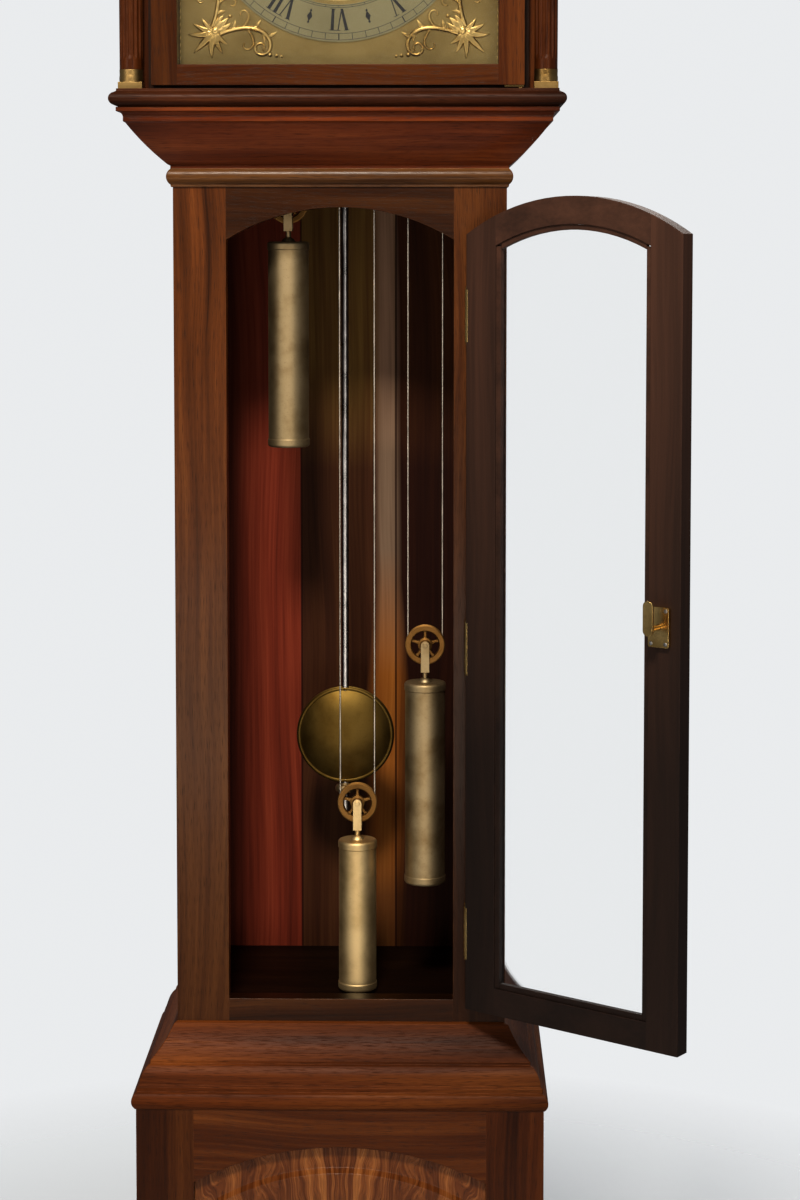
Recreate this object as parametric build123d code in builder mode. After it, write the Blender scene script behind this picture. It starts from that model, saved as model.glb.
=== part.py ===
"""Longcase (grandfather) clock with three weights, a seconds pendulum, an arched
glazed trunk door standing open, and a sliding hood with its own glazed door.

Frame: millimetres, +Z up, the front faces -Y, +X is to the right seen from the
front. The origin is on the floor under the middle of the trunk.
"""
import math
import os

from build123d import *

os.makedirs("parts", exist_ok=True)

# ---------------------------------------------------------------- dimensions
# carcass
BACK = 150.0            # back plane of the case
BB_T = 15.0             # backboard thickness
BB = BACK - BB_T        # front face of the backboard
SIDE_T = 18.0           # side boards
FRAME_T = 22.0          # trunk front frame thickness

TW = 190.0              # trunk half width
TF = -120.0             # trunk front face
TRUNK_Z0 = 434.0
CHEEK_TOP = 1668.0      # trunk sides rise into the hood and carry the seatboard
TRUNK_TOP = 1573.6

OPEN_W = 130.0          # half width of the trunk opening
OPEN_Z0 = 546.0
FLOOR_TOP = 534.5

BASE_W = 234.0          # base half width
BASE_F = -164.0         # base front face
BASE_TOP = 430.0
PLINTH_H = 78.0

# trunk door, hung on the right, standing open
DOOR_OPEN = 144.0       # opening angle at rest, degrees
HINGE_X, HINGE_Y = 146.0, -130.5
DOOR_T = 20.0
DOOR_U0, DOOR_U1 = 4.7, 286.7
DOOR_Z0 = 542.0
DOOR_SHOULDER = 1432.0
DOOR_PEAK = 1474.0
STILE = 40.0
RAIL_TOP = 31.0
RAIL_BOT = 31.0
LOCK_U, LOCK_Z = 262.0, 1010.0

# hood
HW = 245.0              # hood half width
HOOD_Z0 = 1594.0
HOOD_SIDE_TOP = 2100.0
HOOD_BACK = BB - 0.4
HDOOR_F, HDOOR_B = -170.0, -150.0
HDOOR_W = 208.0
HDOOR_Z0 = 1598.0
HDOOR_HINGE = (204.0, -160.0)
MASK_F, MASK_B = -148.0, -138.0
COL_X, COL_Y, COL_R = 232.4, -152.0, 13.0

# dial: square with a break arch
DIAL_C = 1800.0         # height of the dial centre
DIAL_W = 182.0          # half width of the dial plate
DIAL_SQ_TOP = DIAL_C + DIAL_W
ARCH_HALF = 140.0
ARCH_RISE = 105.0
DIAL_F, DIAL_B = -134.0, -131.5
RING_R1, RING_R0 = 152.0, 110.0
SEC_Z = 1858.0          # seconds arbor
SEC_R1, SEC_R0 = 31.0, 21.0

# movement
PF0, PF1 = -92.0, -89.0     # front plate
PB0, PB1 = -14.0, -11.0     # back plate
PLATE_W = 124.0
PLATE_Z0, PLATE_Z1 = 1690.0, 1912.0
BARREL_X = 80.0
BARREL_Z = 1742.5
DRUM_R = 35.9
LINE_R = 1.25
DRUM_PITCH = 37.25
PULLEY_PITCH = 20.25
CENTRE_R, THIRD_R, GREAT_R, ESCAPE_R = 32.0, 22.0, 52.0, 15.0
TIP_GAP = 0.3               # between tip circles of wheels and pinions
_A, _B, _D = CENTRE_R + 5.0 + TIP_GAP, THIRD_R + 4.5 + TIP_GAP, SEC_Z - DIAL_C
_H = (_A * _A - _B * _B + _D * _D) / (2 * _D)
THIRD = (math.sqrt(_A * _A - _H * _H), DIAL_C + _H)
ANCHOR_Z = 1880.0           # pallet arbor and suspension line up here
RUN = 0.05                  # running clearance of arbors

# weights, left to right: bottom height, length, radius
WEIGHT_Y = -50.0
WEIGHTS = {
    "strike": (-BARREL_X, 1184.0, 240.0, 24.5),
    "going": (0.0, 537.5, 180.0, 23.0),
    "chime": (BARREL_X, 666.0, 240.0, 24.5),
}

# pendulum
PEND_Y = 24.0
BOB_Z = 828.0
BOB_R = 59.0
BOB_T = 34.0
ROD_R = 4.5


# ------------------------------------------------------------------- helpers
def front(y):
    """Plane facing the viewer at depth y: local x is +X, local y is +Z."""
    return Plane(origin=(0, y, 0), x_dir=(1, 0, 0), z_dir=(0, -1, 0))


def outline(start, segs):
    """Closed run of straight lines (one point) and three-point arcs (two)."""
    p = start
    for s in segs:
        if len(s) == 1:
            Line(p, s[0])
            p = s[0]
        else:
            ThreePointArc(p, s[0], s[1])
            p = s[1]
    if (p[0] - start[0]) ** 2 + (p[1] - start[1]) ** 2 > 1e-9:
        Line(p, start)


def block(x0, x1, y0, y1, z0, z1, mode=Mode.ADD):
    with Locations(((x0 + x1) / 2, (y0 + y1) / 2, (z0 + z1) / 2)):
        Box(x1 - x0, y1 - y0, z1 - z0, mode=mode)


def rod_y(x, z, y0, y1, r, mode=Mode.ADD):
    """Round bar along Y."""
    with Locations(Location((x, (y0 + y1) / 2, z), (90, 0, 0))):
        Cylinder(r, y1 - y0, mode=mode)


def rod_z(x, y, z0, z1, r, mode=Mode.ADD):
    with Locations((x, y, (z0 + z1) / 2)):
        Cylinder(r, z1 - z0, mode=mode)


def rod_x(y, z, x0, x1, r, mode=Mode.ADD):
    with Locations(Location(((x0 + x1) / 2, y, z), (0, 90, 0))):
        Cylinder(r, x1 - x0, mode=mode)


def turned(x, y, start, segs, mode=Mode.ADD):
    """Turned shape about the vertical through x, y; profile points are (r, z)."""
    pl = Plane(origin=(x, y, 0), x_dir=(1, 0, 0), z_dir=(0, -1, 0))
    with BuildSketch(pl) as section:
        with BuildLine():
            outline(start, segs)
        make_face()
    revolve(section.sketch, axis=Axis((x, y, 0), (0, 0, 1)), mode=mode)


def save(label, *parts):
    """One node from one or several separate solids."""
    solids = []
    for p in parts:
        solids += list(p.solids())
    node = solids[0] if len(solids) == 1 else Compound(solids)
    node.label = label
    export_step(node, f"parts/{label}.step")


def mitred(start, segs, half, fy, by):
    """Three mitred lengths of one moulding, front, right and left.

    The profile is (projection, height), measured from the faces x = +-half
    and y = fy.
    """
    reach = 140.0
    right_mitre = Plane(origin=(half, fy, 0), x_dir=(0, 0, 1), z_dir=(1, 1, 0))
    left_mitre = Plane(origin=(-half, fy, 0), x_dir=(0, 0, 1), z_dir=(-1, 1, 0))
    with BuildPart() as m_front:
        with BuildSketch(Plane(origin=(half + reach, fy, 0), x_dir=(0, -1, 0), z_dir=(-1, 0, 0))):
            with BuildLine():
                outline(start, segs)
            make_face()
        extrude(amount=2 * (half + reach))
        split(bisect_by=right_mitre, keep=Keep.BOTTOM)
        split(bisect_by=left_mitre, keep=Keep.BOTTOM)
    with BuildPart() as m_right:
        with BuildSketch(Plane(origin=(half, by, 0), x_dir=(1, 0, 0), z_dir=(0, -1, 0))):
            with BuildLine():
                outline(start, segs)
            make_face()
        extrude(amount=by - fy + reach)
        split(bisect_by=right_mitre, keep=Keep.TOP)
    with BuildPart() as m_left:
        with BuildSketch(Plane(origin=(-half, fy - reach, 0), x_dir=(-1, 0, 0), z_dir=(0, 1, 0))):
            with BuildLine():
                outline(start, segs)
            make_face()
        extrude(amount=by - fy + reach)
        split(bisect_by=left_mitre, keep=Keep.TOP)
    return m_front.part, m_right.part, m_left.part


def toothed(r, n, depth, hub, crossings):
    """Sketch of a clock wheel: rim with cut teeth, crossings and a hub."""
    Circle(r)
    with PolarLocations(r - depth / 2 + 0.05, n):
        Rectangle(depth + 0.1, math.pi * r / n, mode=Mode.SUBTRACT)
    if crossings:
        inner = r - depth - 3.0
        with PolarLocations(0, crossings, start_angle=45):
            with BuildSketch(mode=Mode.PRIVATE) as win:
                Circle(inner)
                Circle(hub, mode=Mode.SUBTRACT)
                with Locations((-r, 0)):
                    Rectangle(2 * r, 3 * r, mode=Mode.SUBTRACT)
                with Locations((0, -r * 1.5)):
                    Rectangle(3 * r, 3 * r, mode=Mode.SUBTRACT)
            with Locations((1.6, 1.6)):
                add(win.sketch, mode=Mode.SUBTRACT)


# --------------------------------------------------------------- lower case
with BuildPart() as base_left:
    block(-BASE_W, -BASE_W + SIDE_T, BASE_F + FRAME_T, BB, 18, BASE_TOP)
with BuildPart() as base_right:
    block(BASE_W - SIDE_T, BASE_W, BASE_F + FRAME_T, BB, 18, BASE_TOP)
with BuildPart() as base_bottom:
    block(-BASE_W, BASE_W, BASE_F, BB, 0, 18)
save("base_carcass", base_left.part, base_right.part, base_bottom.part)

# base front: stiles and rails around a raised panel with an arched head
BP_W, BP_Z0, BP_Z1, BP_RISE = 168.0, 128.0, 344.0, 42.0
with BuildPart() as base_stile_l:
    block(-BASE_W, -BP_W, BASE_F, BASE_F + FRAME_T, 18, BASE_TOP)
with BuildPart() as base_stile_r:
    block(BP_W, BASE_W, BASE_F, BASE_F + FRAME_T, 18, BASE_TOP)
with BuildPart() as base_rail_b:
    block(-BP_W, BP_W, BASE_F, BASE_F + FRAME_T, 18, BP_Z0)
with BuildPart() as base_rail_t:
    with BuildSketch(front(BASE_F + FRAME_T)):
        with BuildLine():
            outline((-BP_W, BASE_TOP), [((BP_W, BASE_TOP),), ((BP_W, BP_Z1),),
                                        ((0, BP_Z1 + BP_RISE), (-BP_W, BP_Z1))])
        make_face()
    extrude(amount=FRAME_T)
save("base_front_frame", base_stile_l.part, base_stile_r.part, base_rail_b.part, base_rail_t.part)

with BuildPart() as base_panel:
    with BuildSketch(front(BASE_F + 19)):
        with BuildLine():
            outline((-BP_W, BP_Z0), [((BP_W, BP_Z0),), ((BP_W, BP_Z1),),
                                     ((0, BP_Z1 + BP_RISE), (-BP_W, BP_Z1))])
        make_face()
    extrude(amount=9)
    with BuildSketch(front(BASE_F + 10)):
        with BuildLine():
            outline((-BP_W + 26, BP_Z0 + 26), [((BP_W - 26, BP_Z0 + 26),), ((BP_W - 26, BP_Z1 - 22),),
                                               ((0, BP_Z1 + BP_RISE - 27), (-BP_W + 26, BP_Z1 - 22))])
        make_face()
    extrude(amount=8, taper=28)
save("base_panel", base_panel.part)

plinth = mitred((0, 0), [((12, 0),), ((12, 58),), ((9.5, 60),), ((4.5, 64), (3, 73)), ((0, PLINTH_H),)],
                BASE_W, BASE_F, BB)
save("plinth", *plinth)

# moulding between base and trunk: cove, ovolo, quirk and fillet
base_moulding = mitred(
    (0, BASE_TOP + 0.0),
    [((45, BASE_TOP),), ((46.5, BASE_TOP + 2),), ((49, BASE_TOP + 10), (46, BASE_TOP + 18)),
     ((43, BASE_TOP + 20),), ((43, BASE_TOP + 25),), ((40.5, BASE_TOP + 27),),
     ((38, BASE_TOP + 38), (31.5, BASE_TOP + 47)), ((29, BASE_TOP + 48.5),), ((29, BASE_TOP + 52),),
     ((16.5, BASE_TOP + 66), (4, BASE_TOP + 88)), ((0, BASE_TOP + 90),)],
    TW, TF, BB)
save("base_moulding", *base_moulding)

# -------------------------------------------------------------------- trunk
with BuildPart() as trunk_left:
    block(-TW, -TW + SIDE_T, TF + FRAME_T, BB, TRUNK_Z0, CHEEK_TOP)
with BuildPart() as trunk_right:
    block(TW - SIDE_T, TW, TF + FRAME_T, BB, TRUNK_Z0, CHEEK_TOP)
save("trunk_sides", trunk_left.part, trunk_right.part)

# the opening has the same flat arch as the door, a little smaller
DOOR_MID = (DOOR_U0 + DOOR_U1) / 2
DOOR_HALF = (DOOR_U1 - DOOR_U0) / 2
DOOR_RISE = DOOR_PEAK - DOOR_SHOULDER
DOOR_R = (DOOR_HALF ** 2 + DOOR_RISE ** 2) / (2 * DOOR_RISE)
DOOR_CZ = DOOR_PEAK - DOOR_R


def door_arc(u, r):
    """Height of an arc of radius r, concentric with the door's head."""
    return DOOR_CZ + math.sqrt(r * r - u * u)


OPEN_R = DOOR_R - 11.0
with BuildPart() as trunk_stile_l:
    block(-TW, -OPEN_W, TF, TF + FRAME_T, TRUNK_Z0, TRUNK_TOP)
with BuildPart() as trunk_stile_r:
    block(OPEN_W, TW, TF, TF + FRAME_T, TRUNK_Z0, TRUNK_TOP)
with BuildPart() as trunk_rail_b:
    block(-OPEN_W, OPEN_W, TF, TF + FRAME_T, TRUNK_Z0, OPEN_Z0)
with BuildPart() as trunk_rail_t:
    with BuildSketch(front(TF + FRAME_T)):
        with BuildLine():
            outline((-OPEN_W, TRUNK_TOP),
                    [((OPEN_W, TRUNK_TOP),), ((OPEN_W, door_arc(OPEN_W, OPEN_R)),),
                     ((0, door_arc(0, OPEN_R)), (-OPEN_W, door_arc(OPEN_W, OPEN_R)))])
        make_face()
    extrude(amount=FRAME_T)
save("trunk_front_frame", trunk_stile_l.part, trunk_stile_r.part, trunk_rail_b.part, trunk_rail_t.part)

with BuildPart() as trunk_floor:
    block(-TW + SIDE_T, TW - SIDE_T, TF + FRAME_T, BB, FLOOR_TOP - 12, FLOOR_TOP)
save("trunk_floor", trunk_floor.part)

# backboard: one plane of boards, wider behind the base and the hood, with two
# screw holes above the trunk for fixing the case to a wall
FIX_X, FIX_Z, FIX_R = 100.0, 1625.0, 3.0
with BuildPart() as backboard:
    with BuildSketch(front(BACK)):
        with BuildLine():
            outline((-BASE_W, 18), [((BASE_W, 18),), ((BASE_W, BASE_TOP),), ((TW, BASE_TOP),),
                                    ((TW, 1596),), ((238, 1596),), ((238, 2112),), ((-238, 2112),),
                                    ((-238, 1596),), ((-TW, 1596),), ((-TW, BASE_TOP),),
                                    ((-BASE_W, BASE_TOP),)])
        make_face()
        with Locations((FIX_X, FIX_Z), (-FIX_X, FIX_Z)):
            Circle(FIX_R, mode=Mode.SUBTRACT)
    extrude(amount=BB_T)
save("backboard", backboard.part)

# throat moulding: astragal, then a broad ovolo and a small cove that carry the hood
throat = mitred(
    (0, 1486),
    [((2, 1486),), ((2.5, 1488.5),), ((7, 1497.5), (2.5, 1506.5)), ((2.5, 1510),), ((5.5, 1511.5),),
     ((28.5, 1533.5), (47.5, 1556.5)), ((50, 1558),), ((50, 1561),), ((51.5, 1566.5), (57, 1569)),
     ((57, 1573.6),), ((0, 1573.6),)],
    TW, TF, BB)
save("throat_moulding", *throat)

# -------------------------------------------------------------- seatboard
with BuildPart() as seatboard:
    block(-TW, TW, -98, BB, CHEEK_TOP, PLATE_Z0)
    for key, (bx, zb, ln, wr) in WEIGHTS.items():
        xm = bx + DRUM_PITCH
        xf = xm - 2 * PULLEY_PITCH
        with Locations((xm, WEIGHT_Y, (CHEEK_TOP + PLATE_Z0) / 2)):
            Cylinder(6, 60, mode=Mode.SUBTRACT)
        with Locations((xf, WEIGHT_Y, (CHEEK_TOP + PLATE_Z0) / 2)):
            Cylinder(3, 60, mode=Mode.SUBTRACT)
    # slot for the pendulum rod
    block(-75, 75, PEND_Y - 14, PEND_Y + 14, CHEEK_TOP - 1, PLATE_Z0 + 1, mode=Mode.SUBTRACT)
save("seatboard", seatboard.part)

# -------------------------------------------------------------- trunk door
PHI = math.radians(180.0 + DOOR_OPEN)
DU = (math.cos(PHI), math.sin(PHI), 0.0)
DN = (math.sin(PHI), -math.cos(PHI), 0.0)


def door_plane(w):
    """Plane across the open door; local x runs from hinge to free edge, local
    y is height, the normal points to the inner face. w = 0 is mid thickness."""
    o = (HINGE_X + DN[0] * w, HINGE_Y + DN[1] * w, 0)
    return Plane(origin=o, x_dir=DU, z_dir=DN)


UA, UB = DOOR_U0 + STILE, DOOR_U1 - STILE
IN_R = DOOR_R - RAIL_TOP
IN_HALF = DOOR_HALF - STILE
LEAF = ((600.0, 660.0), (930.0, 990.0), (1310.0, 1370.0))

HALF_T = DOOR_T / 2
with BuildPart() as door_stile_hinge:
    with BuildSketch(door_plane(-HALF_T)):
        with BuildLine():
            outline((DOOR_U0, DOOR_Z0), [((UA, DOOR_Z0),), ((UA, door_arc(IN_HALF, DOOR_R)),),
                                         ((DOOR_U0 + STILE / 2, door_arc(DOOR_HALF - STILE / 2, DOOR_R)),
                                          (DOOR_U0, DOOR_SHOULDER))])
        make_face()
    extrude(amount=DOOR_T)
    for z0, z1 in LEAF:
        with BuildSketch(door_plane(-HALF_T)):
            with Locations((DOOR_U0 + 1.0, (z0 + z1) / 2)):
                Rectangle(2.0, z1 - z0)
        extrude(amount=DOOR_T, mode=Mode.SUBTRACT)
with BuildPart() as door_stile_free:
    with BuildSketch(door_plane(-HALF_T)):
        with BuildLine():
            outline((UB, DOOR_Z0), [((DOOR_U1, DOOR_Z0),), ((DOOR_U1, DOOR_SHOULDER),),
                                    ((DOOR_U1 - STILE / 2, door_arc(DOOR_HALF - STILE / 2, DOOR_R)),
                                     (UB, door_arc(IN_HALF, DOOR_R)))])
        make_face()
        with Locations((LOCK_U, LOCK_Z)):
            Circle(3.05, mode=Mode.SUBTRACT)
    extrude(amount=DOOR_T)
with BuildPart() as door_rail_top:
    with BuildSketch(door_plane(-HALF_T)):
        with BuildLine():
            zi, zo = door_arc(IN_HALF, IN_R), door_arc(IN_HALF, DOOR_R)
            outline((UA, zi), [((DOOR_MID, door_arc(0, IN_R)), (UB, zi)), ((UB, zo),),
                               ((DOOR_MID, DOOR_PEAK), (UA, zo)), ((UA, zi),)])
        make_face()
    extrude(amount=DOOR_T)
with BuildPart() as door_rail_bottom:
    with BuildSketch(door_plane(-HALF_T)):
        with Locations((DOOR_MID, DOOR_Z0 + RAIL_BOT / 2)):
            Rectangle(UB - UA, RAIL_BOT)
    extrude(amount=DOOR_T)

# glazing beads on the inner side, behind the pane
BEAD = 6.0
with BuildPart() as bead_left:
    with BuildSketch(door_plane(2.0)):
        with Locations((UA + BEAD / 2, (DOOR_Z0 + RAIL_BOT + door_arc(IN_HALF, IN_R)) / 2)):
            Rectangle(BEAD, door_arc(IN_HALF, IN_R) - DOOR_Z0 - RAIL_BOT - 1.0)
    extrude(amount=6)
with BuildPart() as bead_right:
    with BuildSketch(door_plane(2.0)):
        with Locations((UB - BEAD / 2, (DOOR_Z0 + RAIL_BOT + door_arc(IN_HALF, IN_R)) / 2)):
            Rectangle(BEAD, door_arc(IN_HALF, IN_R) - DOOR_Z0 - RAIL_BOT - 1.0)
    extrude(amount=6)
with BuildPart() as bead_bottom:
    with BuildSketch(door_plane(2.0)):
        with Locations((DOOR_MID, DOOR_Z0 + RAIL_BOT + BEAD / 2 + 0.5)):
            Rectangle(UB - UA - 2 * BEAD - 1.0, BEAD)
    extrude(amount=6)
with BuildPart() as bead_top:
    with BuildSketch(door_plane(2.0)):
        with BuildLine():
            hb = IN_HALF - BEAD - 0.5
            outline((DOOR_MID - hb, door_arc(hb, IN_R - BEAD)),
                    [((DOOR_MID, door_arc(0, IN_R - BEAD)), (DOOR_MID + hb, door_arc(hb, IN_R - BEAD))),
                     ((DOOR_MID + hb, door_arc(hb, IN_R - 0.2)),),
                     ((DOOR_MID, door_arc(0, IN_R - 0.2)), (DOOR_MID - hb, door_arc(hb, IN_R - 0.2)))])
        make_face()
    extrude(amount=6)
save("trunk_door_frame", door_stile_hinge.part, door_stile_free.part, door_rail_top.part,
     door_rail_bottom.part, bead_left.part, bead_right.part, bead_bottom.part, bead_top.part)

GG = 0.3
with BuildPart() as trunk_door_glass:
    with BuildSketch(door_plane(-1.2)):
        with BuildLine():
            hg = IN_HALF - GG
            outline((DOOR_MID - hg, DOOR_Z0 + RAIL_BOT + GG),
                    [((DOOR_MID + hg, DOOR_Z0 + RAIL_BOT + GG),),
                     ((DOOR_MID + hg, door_arc(hg, IN_R - GG)),),
                     ((DOOR_MID, door_arc(0, IN_R - GG)), (DOOR_MID - hg, door_arc(hg, IN_R - GG)))])
        make_face()
    extrude(amount=3.0)
save("trunk_door_glass", trunk_door_glass.part)

# butt hinges: two outer knuckles on the door, the middle one on the case
KNUCKLE = 3.8
door_leaves = []
case_leaves = []
for z0, z1 in LEAF:
    t = (z1 - z0) / 3
    with BuildPart() as leaf_d:
        with BuildSketch(door_plane(-HALF_T)):
            with Locations((DOOR_U0 + 1.0, (z0 + z1) / 2)):
                Rectangle(2.0, z1 - z0)
        extrude(amount=DOOR_T)
        for a, b in ((z0, z0 + t - 0.3), (z1 - t + 0.3, z1)):
            with BuildSketch(door_plane(-1.5)):
                with Locations((DOOR_U0 / 2 + 0.6, (a + b) / 2)):
                    Rectangle(DOOR_U0 - 1.2 + 1.2, b - a)
            extrude(amount=3.0)
            rod_z(HINGE_X, HINGE_Y, a, b, KNUCKLE)
            rod_z(HINGE_X, HINGE_Y, a - 1, b + 1, 1.8, mode=Mode.SUBTRACT)
    door_leaves.append(leaf_d.part)
    with BuildPart() as leaf_c:
        rod_z(HINGE_X, HINGE_Y, z0 + t, z1 - t, KNUCKLE)
        block(HINGE_X - 1.5, HINGE_X + 3.0, HINGE_Y, TF, z0 + t, z1 - t)
        block(HINGE_X - 1.5, HINGE_X + 26, TF - 2.2, TF, z0, z1)
        rod_z(HINGE_X, HINGE_Y, z0 - 1, z1 + 1, 1.75, mode=Mode.SUBTRACT)
    with BuildPart() as leaf_pin:
        rod_z(HINGE_X, HINGE_Y, z0 - 2.0, z1 + 2.0, 1.75)
        rod_z(HINGE_X, HINGE_Y, z1 + 0.4, z1 + 3.4, 3.2)
        rod_z(HINGE_X, HINGE_Y, z0 - 3.4, z0 - 0.4, 3.2)
    case_leaves += [leaf_c.part, leaf_pin.part]
save("door_hinge_leaves", *door_leaves)
save("case_hinge_leaves", *case_leaves)

# lock box on the inner face, escutcheon on the outer face
with BuildPart() as lock_box:
    with BuildSketch(door_plane(HALF_T)):
        with Locations((LOCK_U, LOCK_Z)):
            RectangleRounded(26, 44, 2.5)
            Circle(3.3, mode=Mode.SUBTRACT)
    extrude(amount=5)
with BuildPart() as escutcheon:
    with BuildSketch(door_plane(-HALF_T - 1.5)):
        with Locations((LOCK_U, LOCK_Z)):
            Ellipse(11, 17)
            Circle(3.3, mode=Mode.SUBTRACT)
    extrude(amount=1.5)
save("door_lock", lock_box.part, escutcheon.part)

# key: bow in front, shaft through the stile, tongue behind the case stile
with BuildPart() as door_key:
    with BuildSketch(door_plane(-HALF_T - 22)):
        with Locations((LOCK_U, LOCK_Z)):
            Circle(3.0)
    extrude(amount=22 + DOOR_T + 27)
    with BuildSketch(door_plane(-HALF_T - 24)):
        with Locations((LOCK_U, LOCK_Z + 0.0)):
            Ellipse(9, 15)
        with Locations((LOCK_U, LOCK_Z + 7.5)):
            Ellipse(4.6, 4.2, mode=Mode.SUBTRACT)
        with Locations((LOCK_U, LOCK_Z - 7.5)):
            Ellipse(4.6, 4.2, mode=Mode.SUBTRACT)
    extrude(amount=4)
    with BuildSketch(door_plane(HALF_T + 24)):
        with Locations((LOCK_U, LOCK_Z + 12)):
            SlotOverall(38, 12, rotation=90)
    extrude(amount=3)
save("door_key", door_key.part)

# --------------------------------------------------------------------- hood
hood_base = mitred(
    (0, 1574.2),
    [((52.5, 1574.2),), ((55.5, 1575.5),), ((61.5, 1582.5), (56, 1590)), ((53.5, 1591.5),), ((53.5, HOOD_Z0),), ((0, HOOD_Z0),)],
    TW + 3, TF - 3, HOOD_BACK)
with BuildPart() as hood_base_front:
    add(hood_base[0])
    rod_z(HDOOR_HINGE[0], HDOOR_HINGE[1], HOOD_Z0 - 9, HOOD_Z0 + 1, 3.0 + RUN, mode=Mode.SUBTRACT)
save("hood_base_frame", hood_base_front.part, hood_base[1], hood_base[2])

with BuildPart() as hood_side_l:
    block(-HW, -HW + SIDE_T, MASK_B, HOOD_BACK, HOOD_Z0, HOOD_SIDE_TOP)
    block(-HW + SIDE_T, -213, MASK_B, MASK_B + 14, HOOD_Z0, HOOD_SIDE_TOP)
with BuildPart() as hood_side_r:
    block(HW - SIDE_T, HW, MASK_B, HOOD_BACK, HOOD_Z0, HOOD_SIDE_TOP)
    block(213, HW - SIDE_T, MASK_B, MASK_B + 14, HOOD_Z0, HOOD_SIDE_TOP)
save("hood_sides", hood_side_l.part, hood_side_r.part)

with BuildPart() as hood_top:
    block(-HW, HW, MASK_B, HOOD_BACK, HOOD_SIDE_TOP, HOOD_SIDE_TOP + 14)
save("hood_top", hood_top.part)


def break_arch(half, z0, shoulder, ah, rise):
    """Square-shouldered break-arch outline."""
    outline((-half, z0), [((half, z0),), ((half, shoulder),), ((ah, shoulder),),
                          ((0, shoulder + rise), (-ah, shoulder)), ((-half, shoulder),)])


HD_SH = DIAL_SQ_TOP + 24          # shoulder of the hood door
HD_AH = ARCH_HALF + 24
HD_RISE = ARCH_RISE + 3

# mask around the dial
with BuildPart() as dial_mask:
    with BuildSketch(front(MASK_B)):
        with BuildLine():
            outline((-213.5, HOOD_Z0), [((213.5, HOOD_Z0),), ((213.5, HD_SH + 4),), ((HW, HD_SH + 4),),
                                        ((HW, HOOD_SIDE_TOP + 14),), ((110, HOOD_SIDE_TOP + 14),), ((110, 2140),),
                                        ((-110, 2140),), ((-110, HOOD_SIDE_TOP + 14),),
                                        ((-HW, HOOD_SIDE_TOP + 14),), ((-HW, HD_SH + 4),),
                                        ((-213.5, HD_SH + 4),)])
        make_face()
        with BuildSketch(mode=Mode.PRIVATE) as hole:
            with BuildLine():
                break_arch(DIAL_W - 3, DIAL_C - DIAL_W + 3, DIAL_SQ_TOP - 3, ARCH_HALF - 3, ARCH_RISE)
            make_face()
        add(hole.sketch, mode=Mode.SUBTRACT)
    extrude(amount=MASK_B - MASK_F)
save("dial_mask", dial_mask.part)

# pediment: arched frieze board, swan-neck mouldings, turned roses, finial blocks
NECK = [(HW, 2078), (205, 2080), (165, 2100), (128, 2152), (92, 2206), (62, 2222), (44, 2214)]
with BuildPart() as tympanum:
    with BuildSketch(front(MASK_F)):
        with BuildLine():
            Spline(*[(x, z) for x, z in NECK], tangents=((-1, 0), (-0.9, -0.45)))
            Line((44, 2214), (44, 2168))
            Line((44, 2168), (-44, 2168))
            Line((-44, 2168), (-44, 2214))
            Spline(*[(-x, z) for x, z in reversed(NECK)], tangents=((-0.9, 0.45), (-1, 0)))
            Line((-HW, 2078), (-HW, HD_SH + 4))
            Line((-HW, HD_SH + 4), (-HD_AH - 2, HD_SH + 4))
            ThreePointArc((-HD_AH - 2, HD_SH + 4), (0, HD_SH + HD_RISE + 4), (HD_AH + 2, HD_SH + 4))
            Line((HD_AH + 2, HD_SH + 4), (HW, HD_SH + 4))
            Line((HW, HD_SH + 4), (HW, 2078))
        make_face()
    extrude(amount=MASK_F - HDOOR_F)
    rod_z(HDOOR_HINGE[0], HDOOR_HINGE[1], HD_SH + 3, HD_SH + 13, 3.0 + RUN, mode=Mode.SUBTRACT)
necks = []
for sgn in (1, -1):
    for drop0, drop1, proud in ((0, 11, 24), (11, 25, 13)):
        with BuildPart() as neck:
            with BuildSketch(front(HDOOR_F)):
                with BuildLine():
                    top = [(sgn * x, z - drop0) for x, z in NECK]
                    low = [(sgn * x, z - drop1) for x, z in NECK]
                    Spline(*top, tangents=((-sgn, 0), (-0.9 * sgn, -0.45)))
                    Spline(*low, tangents=((-sgn, 0), (-0.9 * sgn, -0.45)))
                    Line(top[0], low[0])
                    Line(top[-1], low[-1])
                make_face()
            extrude(amount=proud)
        necks.append(neck.part)
    with BuildPart() as rose:
        rod_y(sgn * 58, 2196.0 - 4, HDOOR_F - 34, HDOOR_F - 24.2, 19)
        with BuildSketch(front(HDOOR_F - 34)):
            with Locations((sgn * 58, 2192)):
                Circle(12)
        extrude(amount=5, taper=35)
    necks.append(rose.part)
with BuildPart() as centre_block:
    block(-17, 17, HDOOR_F - 8, MASK_F, 2168, 2222)
save("pediment", tympanum.part, *necks, centre_block.part)

# side cornices
with BuildPart() as cornice_r:
    with BuildSketch(Plane(origin=(HW, HOOD_BACK, 0), x_dir=(1, 0, 0), z_dir=(0, -1, 0))):
        with BuildLine():
            outline((0, 2042), [((4, 2042),), ((4, 2050),), ((9.0, 2064), (20, 2070)), ((20, 2074),), ((24, 2078),), ((0, 2078),)])
        make_face()
    extrude(amount=HOOD_BACK - HDOOR_F + 24)
with BuildPart() as cornice_l:
    with BuildSketch(Plane(origin=(-HW, HDOOR_F - 24, 0), x_dir=(-1, 0, 0), z_dir=(0, 1, 0))):
        with BuildLine():
            outline((0, 2042), [((4, 2042),), ((4, 2050),), ((9.0, 2064), (20, 2070)), ((20, 2074),), ((24, 2078),), ((0, 2078),)])
        make_face()
    extrude(amount=HOOD_BACK - HDOOR_F + 24)
save("hood_cornice", cornice_r.part, cornice_l.part)

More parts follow.
